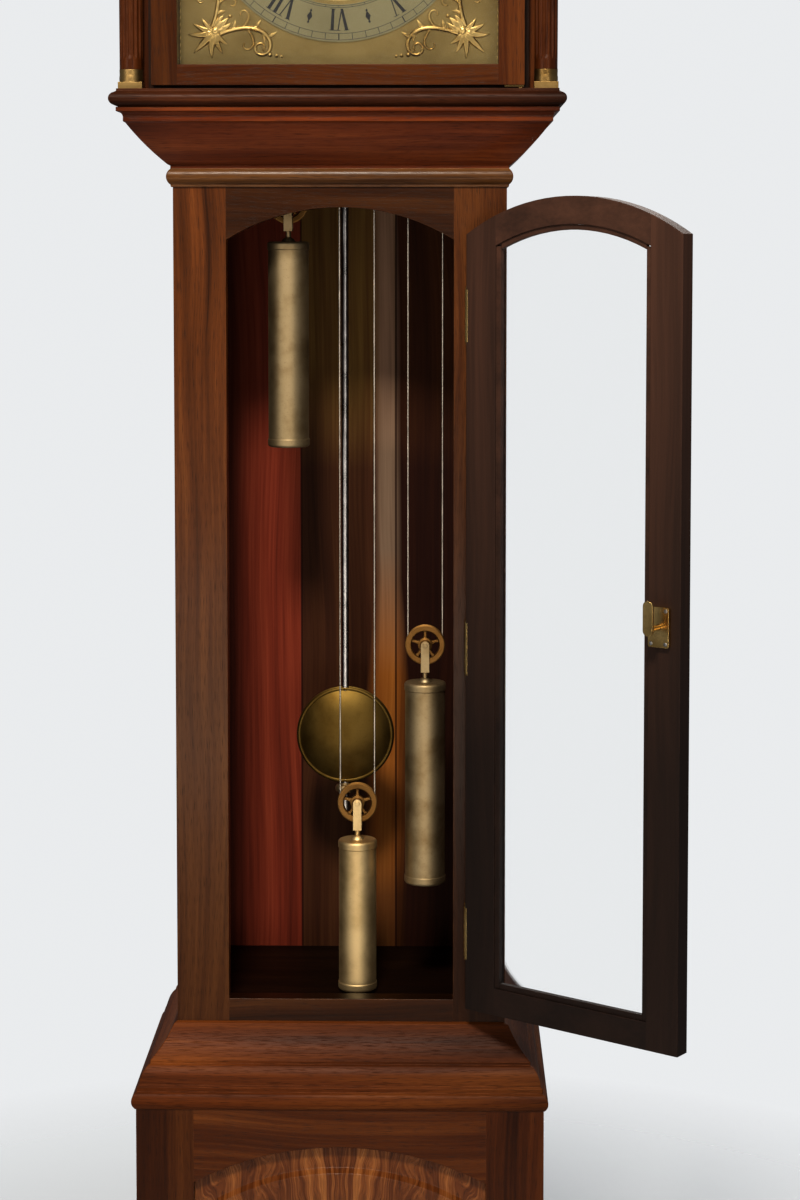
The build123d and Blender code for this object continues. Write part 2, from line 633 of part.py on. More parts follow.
# turned finials: two on the roof corners, one on the centre block
finials = []
for fx, fy, z in ((-226, -124, HOOD_SIDE_TOP + 14), (226, -124, HOOD_SIDE_TOP + 14), (0, -163, 2222)):
    with BuildPart() as finial:
        turned(fx, fy, (0, z), [((13, z),), ((13, z + 5),), ((6, z + 9), (5, z + 16)), ((9, z + 18),), ((9, z + 21),),
                                ((18.5, z + 27.5), (21, z + 38)), ((19, z + 47), (13, z + 53)), ((9, z + 57), (7.5, z + 61)),
                                ((5, z + 64),), ((8.5, z + 69), (5, z + 74)),
                                ((3.0, z + 88), (0.8, z + 108)), ((0, z + 109),)])
    finials.append(finial.part)
save("finials", *finials)

# columns with brass bases and capitals
COL_Z0, COL_Z1 = 1616.0, 1984.0
CAP_W = 13.5                      # half width of the square blocks, clear of the door's swing
columns, mounts = [], []
for cx in (-COL_X, COL_X):
    with BuildPart() as column:
        turned(cx, COL_Y, (0, COL_Z0), [((COL_R, COL_Z0),), ((COL_R + 0.6, 1750), (COL_R - 1.2, COL_Z1)), ((0, COL_Z1),)])
    columns.append(column.part)
    with BuildPart() as cap_low:
        block(cx - CAP_W, cx + CAP_W, COL_Y - CAP_W, COL_Y + CAP_W, HOOD_Z0, HOOD_Z0 + 8)
        turned(cx, COL_Y, (0, HOOD_Z0 + 8), [((13.0, HOOD_Z0 + 8),), ((13.4, HOOD_Z0 + 12), (13.0, HOOD_Z0 + 16)),
                                            ((13.2, COL_Z0),), ((0, COL_Z0),)])
    with BuildPart() as cap_top:
        turned(cx, COL_Y, (0, COL_Z1), [((12.5, COL_Z1),), ((13.3, COL_Z1 + 3), (12.5, COL_Z1 + 6)), ((12.5, COL_Z1 + 9),),
                                       ((12.8, COL_Z1 + 15), (13.4, COL_Z1 + 18)), ((0, COL_Z1 + 18),)])
        block(cx - CAP_W, cx + CAP_W, COL_Y - CAP_W, COL_Y + CAP_W, COL_Z1 + 18, HD_SH + 4)
    mounts += [cap_low.part, cap_top.part]
save("hood_columns", *columns)
save("column_mounts", *mounts)

# -------------------------------------------------------------- hood door
HS = HDOOR_W - DIAL_W + 3         # stile width
with BuildPart() as hd_stile_r:
    block(HDOOR_W - HS, HDOOR_W, HDOOR_F, HDOOR_B - 0.4, HDOOR_Z0, HD_SH)
with BuildPart() as hd_stile_l:
    block(-HDOOR_W, -HDOOR_W + HS, HDOOR_F, HDOOR_B - 0.4, HDOOR_Z0, HD_SH)
with BuildPart() as hd_rail_b:
    block(-HDOOR_W + HS, HDOOR_W - HS, HDOOR_F, HDOOR_B - 0.4, HDOOR_Z0, DIAL_C - DIAL_W + 3)
HW_IN = HDOOR_W - HS
with BuildPart() as hd_rail_t:
    with BuildSketch(front(HDOOR_B - 0.4)):
        with BuildLine():
            outline((-HW_IN, DIAL_SQ_TOP - 3),
                    [((-ARCH_HALF + 3, DIAL_SQ_TOP - 3),),
                     ((0, DIAL_SQ_TOP - 3 + ARCH_RISE), (ARCH_HALF - 3, DIAL_SQ_TOP - 3)),
                     ((HW_IN, DIAL_SQ_TOP - 3),), ((HW_IN, HD_SH),), ((HD_AH - 1, HD_SH),),
                     ((0, HD_SH + HD_RISE), (-HD_AH + 1, HD_SH)), ((-HW_IN, HD_SH),)])
        make_face()
    extrude(amount=HDOOR_B - 0.4 - HDOOR_F)
save("hood_door_frame", hd_stile_r.part, hd_stile_l.part, hd_rail_b.part, hd_rail_t.part)

with BuildPart() as hood_door_glass:
    with BuildSketch(front(-158.5)):
        with BuildLine():
            break_arch(HW_IN - GG, DIAL_C - DIAL_W + 3 + GG, DIAL_SQ_TOP - 3 - GG, ARCH_HALF - 3 - GG, ARCH_RISE - GG)
        make_face()
    extrude(amount=3)
save("hood_door_glass", hood_door_glass.part)

with BuildPart() as hd_pivot_b:
    block(HDOOR_W - 22, HDOOR_W - 0.5, -166, -154, HDOOR_Z0 - 2, HDOOR_Z0)
    rod_z(HDOOR_HINGE[0], HDOOR_HINGE[1], HOOD_Z0 - 8, HDOOR_Z0 - 2, 3.0)
with BuildPart() as hd_pivot_t:
    block(HDOOR_W - 22, HDOOR_W - 0.5, -166, -154, HD_SH, HD_SH + 2)
    rod_z(HDOOR_HINGE[0], HDOOR_HINGE[1], HD_SH + 2, HD_SH + 12, 3.0)
with BuildPart() as hd_knob:
    kx, kz = -HDOOR_W + HS / 2, DIAL_C
    rod_y(kx, kz, HDOOR_F - 2, HDOOR_F, 7)
    rod_y(kx, kz, HDOOR_F - 10, HDOOR_F - 2, 2.6)
    with Locations((kx, HDOOR_F - 14, kz)):
        Sphere(6)
save("hood_door_fittings", hd_pivot_b.part, hd_pivot_t.part, hd_knob.part)

# --------------------------------------------------------------------- dial
with BuildPart() as dial_plate:
    with BuildSketch(front(DIAL_B)):
        with BuildLine():
            break_arch(DIAL_W, DIAL_C - DIAL_W, DIAL_SQ_TOP, ARCH_HALF, ARCH_RISE)
        make_face()
        with Locations((0, DIAL_C)):
            Circle(6.4, mode=Mode.SUBTRACT)
        with Locations((0, SEC_Z)):
            Circle(4.0, mode=Mode.SUBTRACT)
        with Locations((-BARREL_X, BARREL_Z), (0, BARREL_Z), (BARREL_X, BARREL_Z)):
            Circle(7.0, mode=Mode.SUBTRACT)
    extrude(amount=DIAL_B - DIAL_F)
save("dial_plate", dial_plate.part)

with BuildPart() as chapter_ring:
    with BuildSketch(front(DIAL_F)):
        with Locations((0, DIAL_C)):
            Circle(RING_R1)
            Circle(RING_R0, mode=Mode.SUBTRACT)
    extrude(amount=1.6)
with BuildPart() as seconds_ring:
    with BuildSketch(front(DIAL_F)):
        with Locations((0, SEC_Z)):
            Circle(SEC_R1)
            Circle(SEC_R0, mode=Mode.SUBTRACT)
    extrude(amount=1.2)
save("chapter_rings", chapter_ring.part, seconds_ring.part)

# cast corner mounts and a plain boss in the arch
ornaments = []
for sx in (-1, 1):
    for sz in (-1, 1):
        with BuildPart() as spandrel:
            with BuildSketch(front(DIAL_F)):
                with BuildLine():
                    a, b = 176.0, 98.0
                    cx, cz = sx * a, DIAL_C + sz * a
                    outline((cx, cz), [((sx * b, cz),),
                                       ((sx * 122, DIAL_C + sz * 122), (cx, DIAL_C + sz * b))])
                make_face()
            extrude(amount=3.0)
        ornaments.append(spandrel.part)
with BuildPart() as arch_boss:
    with BuildSketch(front(DIAL_F)):
        with Locations((0, DIAL_SQ_TOP + 34)):
            Circle(52)
    extrude(amount=2.4)
ornaments.append(arch_boss.part)
save("dial_ornaments", *ornaments)

# ----------------------------------------------------------------- movement
ARBORS = [((0, DIAL_C), 3.5), ((0, BARREL_Z), 4.0), ((-BARREL_X, BARREL_Z), 4.0), ((BARREL_X, BARREL_Z), 4.0),
          (THIRD, 2.0), ((0, SEC_Z), 2.0), ((0, ANCHOR_Z), 2.5)]
PILLARS = [(-108, 1706), (108, 1706), (-108, 1896), (108, 1896)]
with BuildPart() as front_plate:
    with BuildSketch(front(PF1)):
        with Locations((0, (PLATE_Z0 + PLATE_Z1) / 2)):
            Rectangle(2 * PLATE_W, PLATE_Z1 - PLATE_Z0)
        for (ax, az), ar in ARBORS:
            with Locations((ax, az)):
                Circle(ar + RUN, mode=Mode.SUBTRACT)
    extrude(amount=PF1 - PF0)
with BuildPart() as back_plate:
    with BuildSketch(front(PB1)):
        with Locations((0, (PLATE_Z0 + PLATE_Z1) / 2)):
            Rectangle(2 * PLATE_W, PLATE_Z1 - PLATE_Z0)
        for (ax, az), ar in ARBORS:
            with Locations((ax, az)):
                Circle(ar + RUN, mode=Mode.SUBTRACT)
    extrude(amount=PB1 - PB0)
frame_parts = [front_plate.part, back_plate.part]
for px, pz in PILLARS:
    with BuildPart() as pillar:
        rod_y(px, pz, PF1, PB0, 6)
    with BuildPart() as dial_foot:
        rod_y(px, pz, DIAL_B, PF0, 4)
    frame_parts += [pillar.part, dial_foot.part]
for hx in (32.0, 116.0):
    with BuildPart() as hammer_arm:
        block(hx - 2, hx + 2, PB1, 66, 1898, 1906)
        rod_x(60, 1902, hx - 3, hx + 3, 2.0 + RUN, mode=Mode.SUBTRACT)
    frame_parts.append(hammer_arm.part)
save("movement_frame", *frame_parts)

with BuildPart() as back_cock:
    block(-24, 24, PB1, PB1 + 4, 1890, 1911)
    block(-9, 9, PB1 + 4, PEND_Y + 9, 1890, 1902)
save("back_cock", back_cock.part)

# winding drums; the outer two carry their great wheels
drum_parts = {}
for key, (bx, zb, ln, wr) in WEIGHTS.items():
    with BuildPart() as drum:
        rod_y(bx, BARREL_Z, DIAL_F + 1.0, PB1, 4.0)
        rod_y(bx, BARREL_Z, -80, -22, DRUM_R)
        rod_y(bx, BARREL_Z, -80, -78, 38.3)
        rod_y(bx, BARREL_Z, -24, -22, 38.3)
        if key == "going":
            rod_y(bx, BARREL_Z, -88, -80, 8.0)
        else:
            with BuildSketch(Plane(origin=(bx, -17, BARREL_Z), x_dir=(1, 0, 0), z_dir=(0, -1, 0))):
                toothed(38.3, 36, 2.6, 10, 4)
            extrude(amount=3.5)
            rod_y(bx, BARREL_Z, -22, -17, 10)
    save(f"{key}_barrel", drum.part)

with BuildPart() as great_wheel:
    with BuildSketch(Plane(origin=(0, -82.5, BARREL_Z), x_dir=(1, 0, 0), z_dir=(0, -1, 0))):
        toothed(GREAT_R, 48, 2.6, 12, 4)
        Circle(8.0 + RUN, mode=Mode.SUBTRACT)
    extrude(amount=3.5)
save("great_wheel", great_wheel.part)

with BuildPart() as centre_wheel:
    rod_y(0, DIAL_C, -148.0, PB1, 3.5)
    rod_y(0, DIAL_C, -147.4, -145.3, 6.0)
    rod_y(0, DIAL_C, -88, -81, 5.2)
    with BuildSketch(Plane(origin=(0, -16.5, DIAL_C), x_dir=(1, 0, 0), z_dir=(0, -1, 0))):
        toothed(CENTRE_R, 36, 2.2, 7, 4)
    extrude(amount=3)
save("centre_wheel", centre_wheel.part)

with BuildPart() as third_wheel:
    rod_y(THIRD[0], THIRD[1], PF0, PB1, 2.0)
    rod_y(THIRD[0], THIRD[1], -21, -15.2, 5.0)
    with BuildSketch(Plane(origin=(THIRD[0], -32, THIRD[1]), x_dir=(1, 0, 0), z_dir=(0, -1, 0))):
        toothed(THIRD_R, 30, 1.8, 5, 4)
    extrude(amount=3)
save("third_wheel", third_wheel.part)

with BuildPart() as escape_wheel:
    rod_y(0, SEC_Z, -137.3, PB1, 2.0)
    rod_y(0, SEC_Z, -37, -30, 4.5)
    with BuildSketch(Plane(origin=(0, -50, SEC_Z), x_dir=(1, 0, 0), z_dir=(0, -1, 0))):
        toothed(ESCAPE_R, 30, 2.4, 4.5, 4)
    extrude(amount=2)
save("escape_wheel", escape_wheel.part)

# hands: blued steel, pierced near the tip
with BuildPart() as minute_hand:
    with BuildSketch(front(-143.4)):
        with Locations((0, DIAL_C)):
            Circle(9)
        with BuildLine():
            outline((-3.2, DIAL_C), [((-2.2, DIAL_C + 84),), ((-6.5, DIAL_C + 97), (0, DIAL_C + 108)),
                                     ((6.5, DIAL_C + 97), (2.2, DIAL_C + 84)), ((3.2, DIAL_C),)])
        make_face()
        with BuildLine():
            outline((-1.7, DIAL_C + 106), [((0, DIAL_C + 146),), ((1.7, DIAL_C + 106),)])
        make_face()
        with Locations((0, DIAL_C + 97)):
            Circle(3.0, mode=Mode.SUBTRACT)
    extrude(amount=1.6)
    rod_y(0, DIAL_C, -143.4, -93.2, 4.4)
    rod_y(0, DIAL_C, -150, -90, 3.5 + RUN, mode=Mode.SUBTRACT)
save("minute_hand", minute_hand.part)

with BuildPart() as hour_hand:
    with BuildSketch(front(-138.8)):
        with BuildSketch(mode=Mode.PRIVATE) as hshape:
            with BuildLine():
                outline((-4, 0), [((-3, 44),), ((-12, 58), (-3.5, 70)), ((0, 98),), ((3.5, 70),),
                                  ((12, 58), (3, 44)), ((4, 0),)])
            make_face()
            Circle(11)
            with Locations((-4.6, 58), (4.6, 58)):
                Circle(2.9, mode=Mode.SUBTRACT)
        with Locations(Location((0, DIAL_C, 0), (0, 0, 58))):
            add(hshape.sketch)
    extrude(amount=1.8)
    rod_y(0, DIAL_C, -140.6, -95.0, 5.6)
    with BuildSketch(Plane(origin=(0, -96, DIAL_C), x_dir=(1, 0, 0), z_dir=(0, -1, 0))):
        toothed(36, 36, 2.2, 9, 4)
    extrude(amount=3)
    rod_y(0, DIAL_C, -150, -90, 4.4 + RUN, mode=Mode.SUBTRACT)
save("hour_hand", hour_hand.part)

with BuildPart() as seconds_hand:
    with BuildSketch(front(-136.2)):
        with Locations((0, SEC_Z)):
            Circle(3.4)
        with BuildLine():
            outline((-0.9, SEC_Z - 10), [((-0.5, SEC_Z + 29),), ((0.5, SEC_Z + 29),), ((0.9, SEC_Z - 10),)])
        make_face()
        with Locations((0, SEC_Z)):
            Circle(2.0, mode=Mode.SUBTRACT)
    extrude(amount=1.0)
save("seconds_hand", seconds_hand.part)

# anchor with its arbor and the crutch that drives the pendulum
with BuildPart() as anchor_crutch:
    rod_y(0, ANCHOR_Z, PF0, 8, 2.5)
    with BuildSketch(front(-49)):
        with Locations((0, ANCHOR_Z)):
            Circle(5)
        with BuildLine():
            def pol(r, a):
                return (r * math.cos(math.radians(a)), SEC_Z + r * math.sin(math.radians(a)))
            outline(pol(16.8, 32), [(pol(16.8, 90), pol(16.8, 148)), (pol(21.0, 148),),
                                    (pol(21.0, 90), pol(21.0, 32))])
        make_face()
    extrude(amount=4)
    block(-3, 3, 4, 8, 1748, ANCHOR_Z)
    block(-9.5, 9.5, 4, 8, 1742, 1750)
    block(-9.5, -5.5, 8, PEND_Y + 4, 1742, 1750)
    block(5.5, 9.5, 8, PEND_Y + 4, 1742, 1750)
save("anchor_crutch", anchor_crutch.part)

# ----------------------------------------------------------------- pendulum
with BuildPart() as suspension_spring:
    block(-0.2, 0.2, PEND_Y - 6, PEND_Y + 6, 1866, 1889.6)
save("suspension_spring", suspension_spring.part)

with BuildPart() as pendulum_rod:
    rod_z(0, PEND_Y, BOB_Z - 96, 1852, ROD_R)
    block(-5.0, 5.0, PEND_Y - 9, PEND_Y + 9, 1848, 1866)
save("pendulum_rod", pendulum_rod.part)

with BuildPart() as pendulum_bob:
    with BuildSketch(Plane(origin=(0, PEND_Y, BOB_Z), x_dir=(1, 0, 0), z_dir=(0, 0, 1))):
        with BuildLine():
            outline((0, -BOB_T / 2), [((BOB_R * 0.62, -BOB_T / 2 * 0.72), (BOB_R, -1.5)), ((BOB_R, 1.5),),
                                      ((BOB_R * 0.62, BOB_T / 2 * 0.72), (0, BOB_T / 2))])
        make_face()
    revolve(axis=Axis((0, PEND_Y, BOB_Z), (0, 1, 0)))
    rod_z(0, PEND_Y, BOB_Z - 90, BOB_Z + 90, ROD_R + 0.02, mode=Mode.SUBTRACT)
save("pendulum_bob", pendulum_bob.part)

with BuildPart() as rating_nut:
    turned(0, PEND_Y, (ROD_R + 0.02, BOB_Z - 70), [((11, BOB_Z - 70),), ((12.4, BOB_Z - 66), (11, BOB_Z - 62)),
                                                 ((7, BOB_Z - 61),), ((7, BOB_Z - 59.2),), ((ROD_R + 0.02, BOB_Z - 59.2),)])
save("rating_nut", rating_nut.part)

# ------------------------------------------------- weights, pulleys and lines
for key, (bx, zb, ln, wr) in WEIGHTS.items():
    xw = bx + DRUM_PITCH - PULLEY_PITCH
    zt = zb + ln
    za = zt + 44.0
    with BuildPart() as weight_body:
        turned(xw, WEIGHT_Y, (0, zb), [((wr - 3.5, zb),), ((wr - 1, zb + 1), (wr, zb + 3.5)), ((wr, zb + 9),),
                                      ((wr - 0.8, zb + 9.8),), ((wr - 0.8, zt - 9.8),), ((wr, zt - 9),), ((wr, zt - 3.5),),
                                      ((wr - 1, zt - 1), (wr - 3.5, zt)), ((8, zt),), ((6, zt + 3), (3, zt + 5)),
                                      ((3, zt + 12),), ((0, zt + 12),)])
    with BuildPart() as stirrup:
        block(xw - 5, xw + 5, WEIGHT_Y - 9.5, WEIGHT_Y + 9.5, zt + 12, zt + 15)
        for sgn in (-1, 1):
            yc = WEIGHT_Y + sgn * 8.5
            block(xw - 5, xw + 5, yc - 1, yc + 1, zt + 12, za)
            rod_y(xw, za, yc - 1, yc + 1, 5)
        rod_y(xw, za, WEIGHT_Y - 11, WEIGHT_Y + 11, 2.5)
    save(f"{key}_weight", weight_body.part, stirrup.part)
    with BuildPart() as pulley:
        with BuildSketch(Plane(origin=(xw, WEIGHT_Y, za), x_dir=(1, 0, 0), z_dir=(0, 0, 1))):
            with BuildLine():
                outline((2.5 + RUN, -6.5), [((9, -6.5),), ((9, -4),), ((22.5, -4),), ((23.5, -3.2), (23.3, -2.4)),
                                            ((18.85, 0), (23.3, 2.4)), ((23.5, 3.2), (22.5, 4)), ((9, 4),), ((9, 6.5),),
                                            ((2.5 + RUN, 6.5),)])
            make_face()
        revolve(axis=Axis((xw, WEIGHT_Y, za), (0, 1, 0)))
    save(f"{key}_pulley", pulley.part)
    # the line comes down from the drum, passes under the pulley and goes back
    # up to the seatboard
    xm, xf = xw + PULLEY_PITCH, xw - PULLEY_PITCH
    with BuildPart() as line:
        with BuildLine() as path:
            Line((xm, WEIGHT_Y, BARREL_Z), (xm, WEIGHT_Y, za))
            ThreePointArc((xm, WEIGHT_Y, za), (xw, WEIGHT_Y, za - PULLEY_PITCH), (xf, WEIGHT_Y, za))
            Line((xf, WEIGHT_Y, za), (xf, WEIGHT_Y, PLATE_Z0))
        with BuildSketch(Plane(origin=(xm, WEIGHT_Y, BARREL_Z), x_dir=(1, 0, 0), z_dir=(0, 0, -1))):
            Circle(LINE_R)
        sweep()
    save(f"{key}_line", line.part)

# ------------------------------------------------------------------- chime
RODS = [44.0, 60.0, 76.0, 92.0, 104.0]
with BuildPart() as chime_block:
    block(30, 118, 104, BB, 1995, 2035)
chime = [chime_block.part]
for i, rx in enumerate(RODS):
    with BuildPart() as chime_rod:
        rod_z(rx, 112, 1720 + 14 * i, 1995, 3.0)
    chime.append(chime_rod.part)
save("chime_rods", *chime)

with BuildPart() as chime_hammers:
    rod_x(60, 1902, 34.3, 113.7, 4.0)
    rod_x(60, 1902, 30.0, 118.0, 2.0)
    for rx in RODS:
        block(rx - 2, rx + 2, 58, 62, 1902, 1944)
        block(rx - 1.5, rx + 1.5, 60, 92, 1938.5, 1941.5)
        rod_y(rx, 1940, 90, 106, 5.0)
save("chime_hammers", chime_hammers.part)
print("arch radius of door head", round(DOOR_R, 2))
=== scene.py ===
"""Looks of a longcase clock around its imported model: finishes, dial work, cast
ornament, weight lines, light and camera. Metres, +Z up, the front faces -Y."""
import math

import bmesh
import bpy
from mathutils import Matrix, Vector


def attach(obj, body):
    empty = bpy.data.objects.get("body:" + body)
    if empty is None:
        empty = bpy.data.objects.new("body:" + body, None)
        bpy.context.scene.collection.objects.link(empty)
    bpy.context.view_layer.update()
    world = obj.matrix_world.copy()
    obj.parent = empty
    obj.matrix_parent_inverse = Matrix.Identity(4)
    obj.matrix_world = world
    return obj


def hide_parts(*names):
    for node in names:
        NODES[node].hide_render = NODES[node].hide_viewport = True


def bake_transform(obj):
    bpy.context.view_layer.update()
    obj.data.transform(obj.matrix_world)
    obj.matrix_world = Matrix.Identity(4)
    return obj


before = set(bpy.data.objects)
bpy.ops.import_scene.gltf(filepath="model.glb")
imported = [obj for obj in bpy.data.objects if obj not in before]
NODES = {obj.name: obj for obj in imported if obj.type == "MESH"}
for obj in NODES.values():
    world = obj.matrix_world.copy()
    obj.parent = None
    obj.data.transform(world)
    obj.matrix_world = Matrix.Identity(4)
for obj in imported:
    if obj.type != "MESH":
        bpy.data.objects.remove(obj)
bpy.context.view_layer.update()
scene = bpy.context.scene

# ------------------------------------------------------------ key dimensions
TW, TF = 0.190, -0.120
BASE_W, BASE_F = 0.234, -0.164
OPEN_W = 0.130
DIAL_C = 1.800
DIAL_F = -0.134
DIAL_W = 0.182
DIAL_SQ_TOP = 1.982
SEC_Z = 1.858
HINGE = (0.146, -0.1305)
DOOR_OPEN = 144.0
PHI = math.radians(180.0 + DOOR_OPEN)
DU = Vector((math.cos(PHI), math.sin(PHI), 0.0))
DN = Vector((math.sin(PHI), -math.cos(PHI), 0.0))
UA, UB = 0.0447, 0.2467
WEIGHT_Y = -0.050
DRUM_PITCH, PULLEY_PITCH = 0.03725, 0.02025
BARREL_Z = 1.7425
SEAT_Z = 1.690
WEIGHTS = {
    "strike": (-0.080, 1.184, 0.240, 0.0245),
    "going": (0.0, 0.5375, 0.180, 0.0230),
    "chime": (0.080, 0.666, 0.240, 0.0245),
}


# ------------------------------------------------------------- node helpers
class Graph:
    """Short calls for building a material's node graph."""

    def __init__(self, name):
        self.mat = bpy.data.materials.new(name)
        self.mat.use_nodes = True
        self.t = self.mat.node_tree
        self.n = self.t.nodes
        self.bsdf = self.n["Principled BSDF"]

    def put(self, node, key, val):
        if val is None:
            return
        sock = node.inputs[key]
        if isinstance(val, bpy.types.NodeSocket):
            self.t.links.new(val, sock)
        else:
            sock.default_value = val

    def m(self, op, a, b=None, c=None, clamp=False):
        k = self.n.new("ShaderNodeMath")
        k.operation = op
        k.use_clamp = clamp
        self.put(k, 0, a)
        self.put(k, 1, b)
        self.put(k, 2, c)
        return k.outputs[0]

    def v(self, op, a, b=None):
        k = self.n.new("ShaderNodeVectorMath")
        k.operation = op
        self.put(k, 0, a)
        self.put(k, 1, b)
        return k.outputs["Value"] if op in ("DOT_PRODUCT", "LENGTH", "DISTANCE") else k.outputs["Vector"]

    def coord(self, kind="Object"):
        k = self.n.new("ShaderNodeTexCoord")
        return k.outputs[kind]

    def sep(self, v):
        k = self.n.new("ShaderNodeSeparateXYZ")
        self.put(k, 0, v)
        return k.outputs[0], k.outputs[1], k.outputs[2]

    def comb(self, x, y, z):
        k = self.n.new("ShaderNodeCombineXYZ")
        self.put(k, 0, x)
        self.put(k, 1, y)
        self.put(k, 2, z)
        return k.outputs[0]

    def noise(self, vec, scale=1.0, detail=2.0, rough=0.5, dist=0.0):
        k = self.n.new("ShaderNodeTexNoise")
        self.put(k, "Vector", vec)
        k.inputs["Scale"].default_value = scale
        k.inputs["Detail"].default_value = detail
        k.inputs["Roughness"].default_value = rough
        k.inputs["Distortion"].default_value = dist
        return k.outputs["Fac"]

    def ramp(self, fac, stops, interp="LINEAR"):
        k = self.n.new("ShaderNodeValToRGB")
        k.color_ramp.interpolation = interp
        el = k.color_ramp.elements
        while len(el) < len(stops):
            el.new(0.5)
        for e, (p, c) in zip(el, stops):
            e.position = p
            e.color = (*c, 1.0) if isinstance(c, (tuple, list)) else (c, c, c, 1.0)
        self.put(k, 0, fac)
        return k.outputs["Color"]

    def remap(self, val, a, b, c, d):
        k = self.n.new("ShaderNodeMapRange")
        k.clamp = True
        self.put(k, 0, val)
        for i, w in enumerate((a, b, c, d)):
            self.put(k, i + 1, w)
        return k.outputs[0]

    def mix(self, fac, a, b, blend="MIX"):
        k = self.n.new("ShaderNodeMix")
        k.data_type = "RGBA"
        k.blend_type = blend
        k.clamp_factor = True
        self.put(k, 0, fac)
        for idx, val in ((6, a), (7, b)):
            if isinstance(val, bpy.types.NodeSocket):
                self.t.links.new(val, k.inputs[idx])
            else:
                k.inputs[idx].default_value = (*val, 1.0)
        return k.outputs[2]

    def lerp(self, fac, a, b):
        """a where fac is 0, b where fac is 1, for plain numbers."""
        return self.m("ADD", self.m("MULTIPLY", a, self.m("SUBTRACT", 1.0, fac)), self.m("MULTIPLY", b, fac))

    def bevel(self, radius, samples=4):
        k = self.n.new("ShaderNodeBevel")
        k.samples = samples
        k.inputs["Radius"].default_value = radius
        return k.outputs[0]

    def bump(self, height, dist, strength=1.0, normal=None):
        k = self.n.new("ShaderNodeBump")
        k.inputs["Strength"].default_value = strength
        k.inputs["Distance"].default_value = dist
        self.put(k, "Height", height)
        self.put(k, "Normal", normal)
        return k.outputs[0]

    def set(self, **kw):
        names = {"color": "Base Color", "rough": "Roughness", "metal": "Metallic", "normal": "Normal", "coat": "Coat Weight",
                 "coat_rough": "Coat Roughness", "spec": "Specular IOR Level", "trans": "Transmission Weight", "ior": "IOR",
                 "alpha": "Alpha", "aniso": "Anisotropic"}
        for k, val in kw.items():
            sock = self.bsdf.inputs[names[k]]
            if isinstance(val, bpy.types.NodeSocket):
                self.t.links.new(val, sock)
            elif k == "color":
                sock.default_value = (*val, 1.0)
            else:
                sock.default_value = val
        return self.mat


# ----------------------------------------------------------------- materials
RED = ((0.0215, 0.0049, 0.0011), (0.082, 0.0202, 0.0036), (0.178, 0.0540, 0.0106))


def grain_z(g, x, y, z):
    return z, x, y


def grain_x(g, x, y, z):
    return x, z, y


def grain_y(g, x, y, z):
    return y, x, z


def switch(mask_fn, one, two):
    """Grain follows one where the mask is 1, two elsewhere."""

    def f(g, x, y, z):
        m = mask_fn(g, x, y, z)
        return tuple(g.lerp(m, b, a) for a, b in zip(one(g, x, y, z), two(g, x, y, z)))

    return f


def beyond_x(limit):
    return lambda g, x, y, z: g.m("GREATER_THAN", g.m("ABSOLUTE", x), limit)


def side_of_mitre(half, fy):
    """1 on the side lengths of a mitred moulding, 0 on the front length."""
    return lambda g, x, y, z: g.m("GREATER_THAN", g.m("SUBTRACT", g.m("ABSOLUTE", x), half), g.m("SUBTRACT", fy, y))


def door_stile(g, x, y, z):
    u = g.v("DOT_PRODUCT", g.comb(g.m("SUBTRACT", x, HINGE[0]), g.m("SUBTRACT", y, HINGE[1]), 0.0), tuple(DU))
    return g.m("ADD", g.m("LESS_THAN", u, UA), g.m("GREATER_THAN", u, UB), clamp=True)


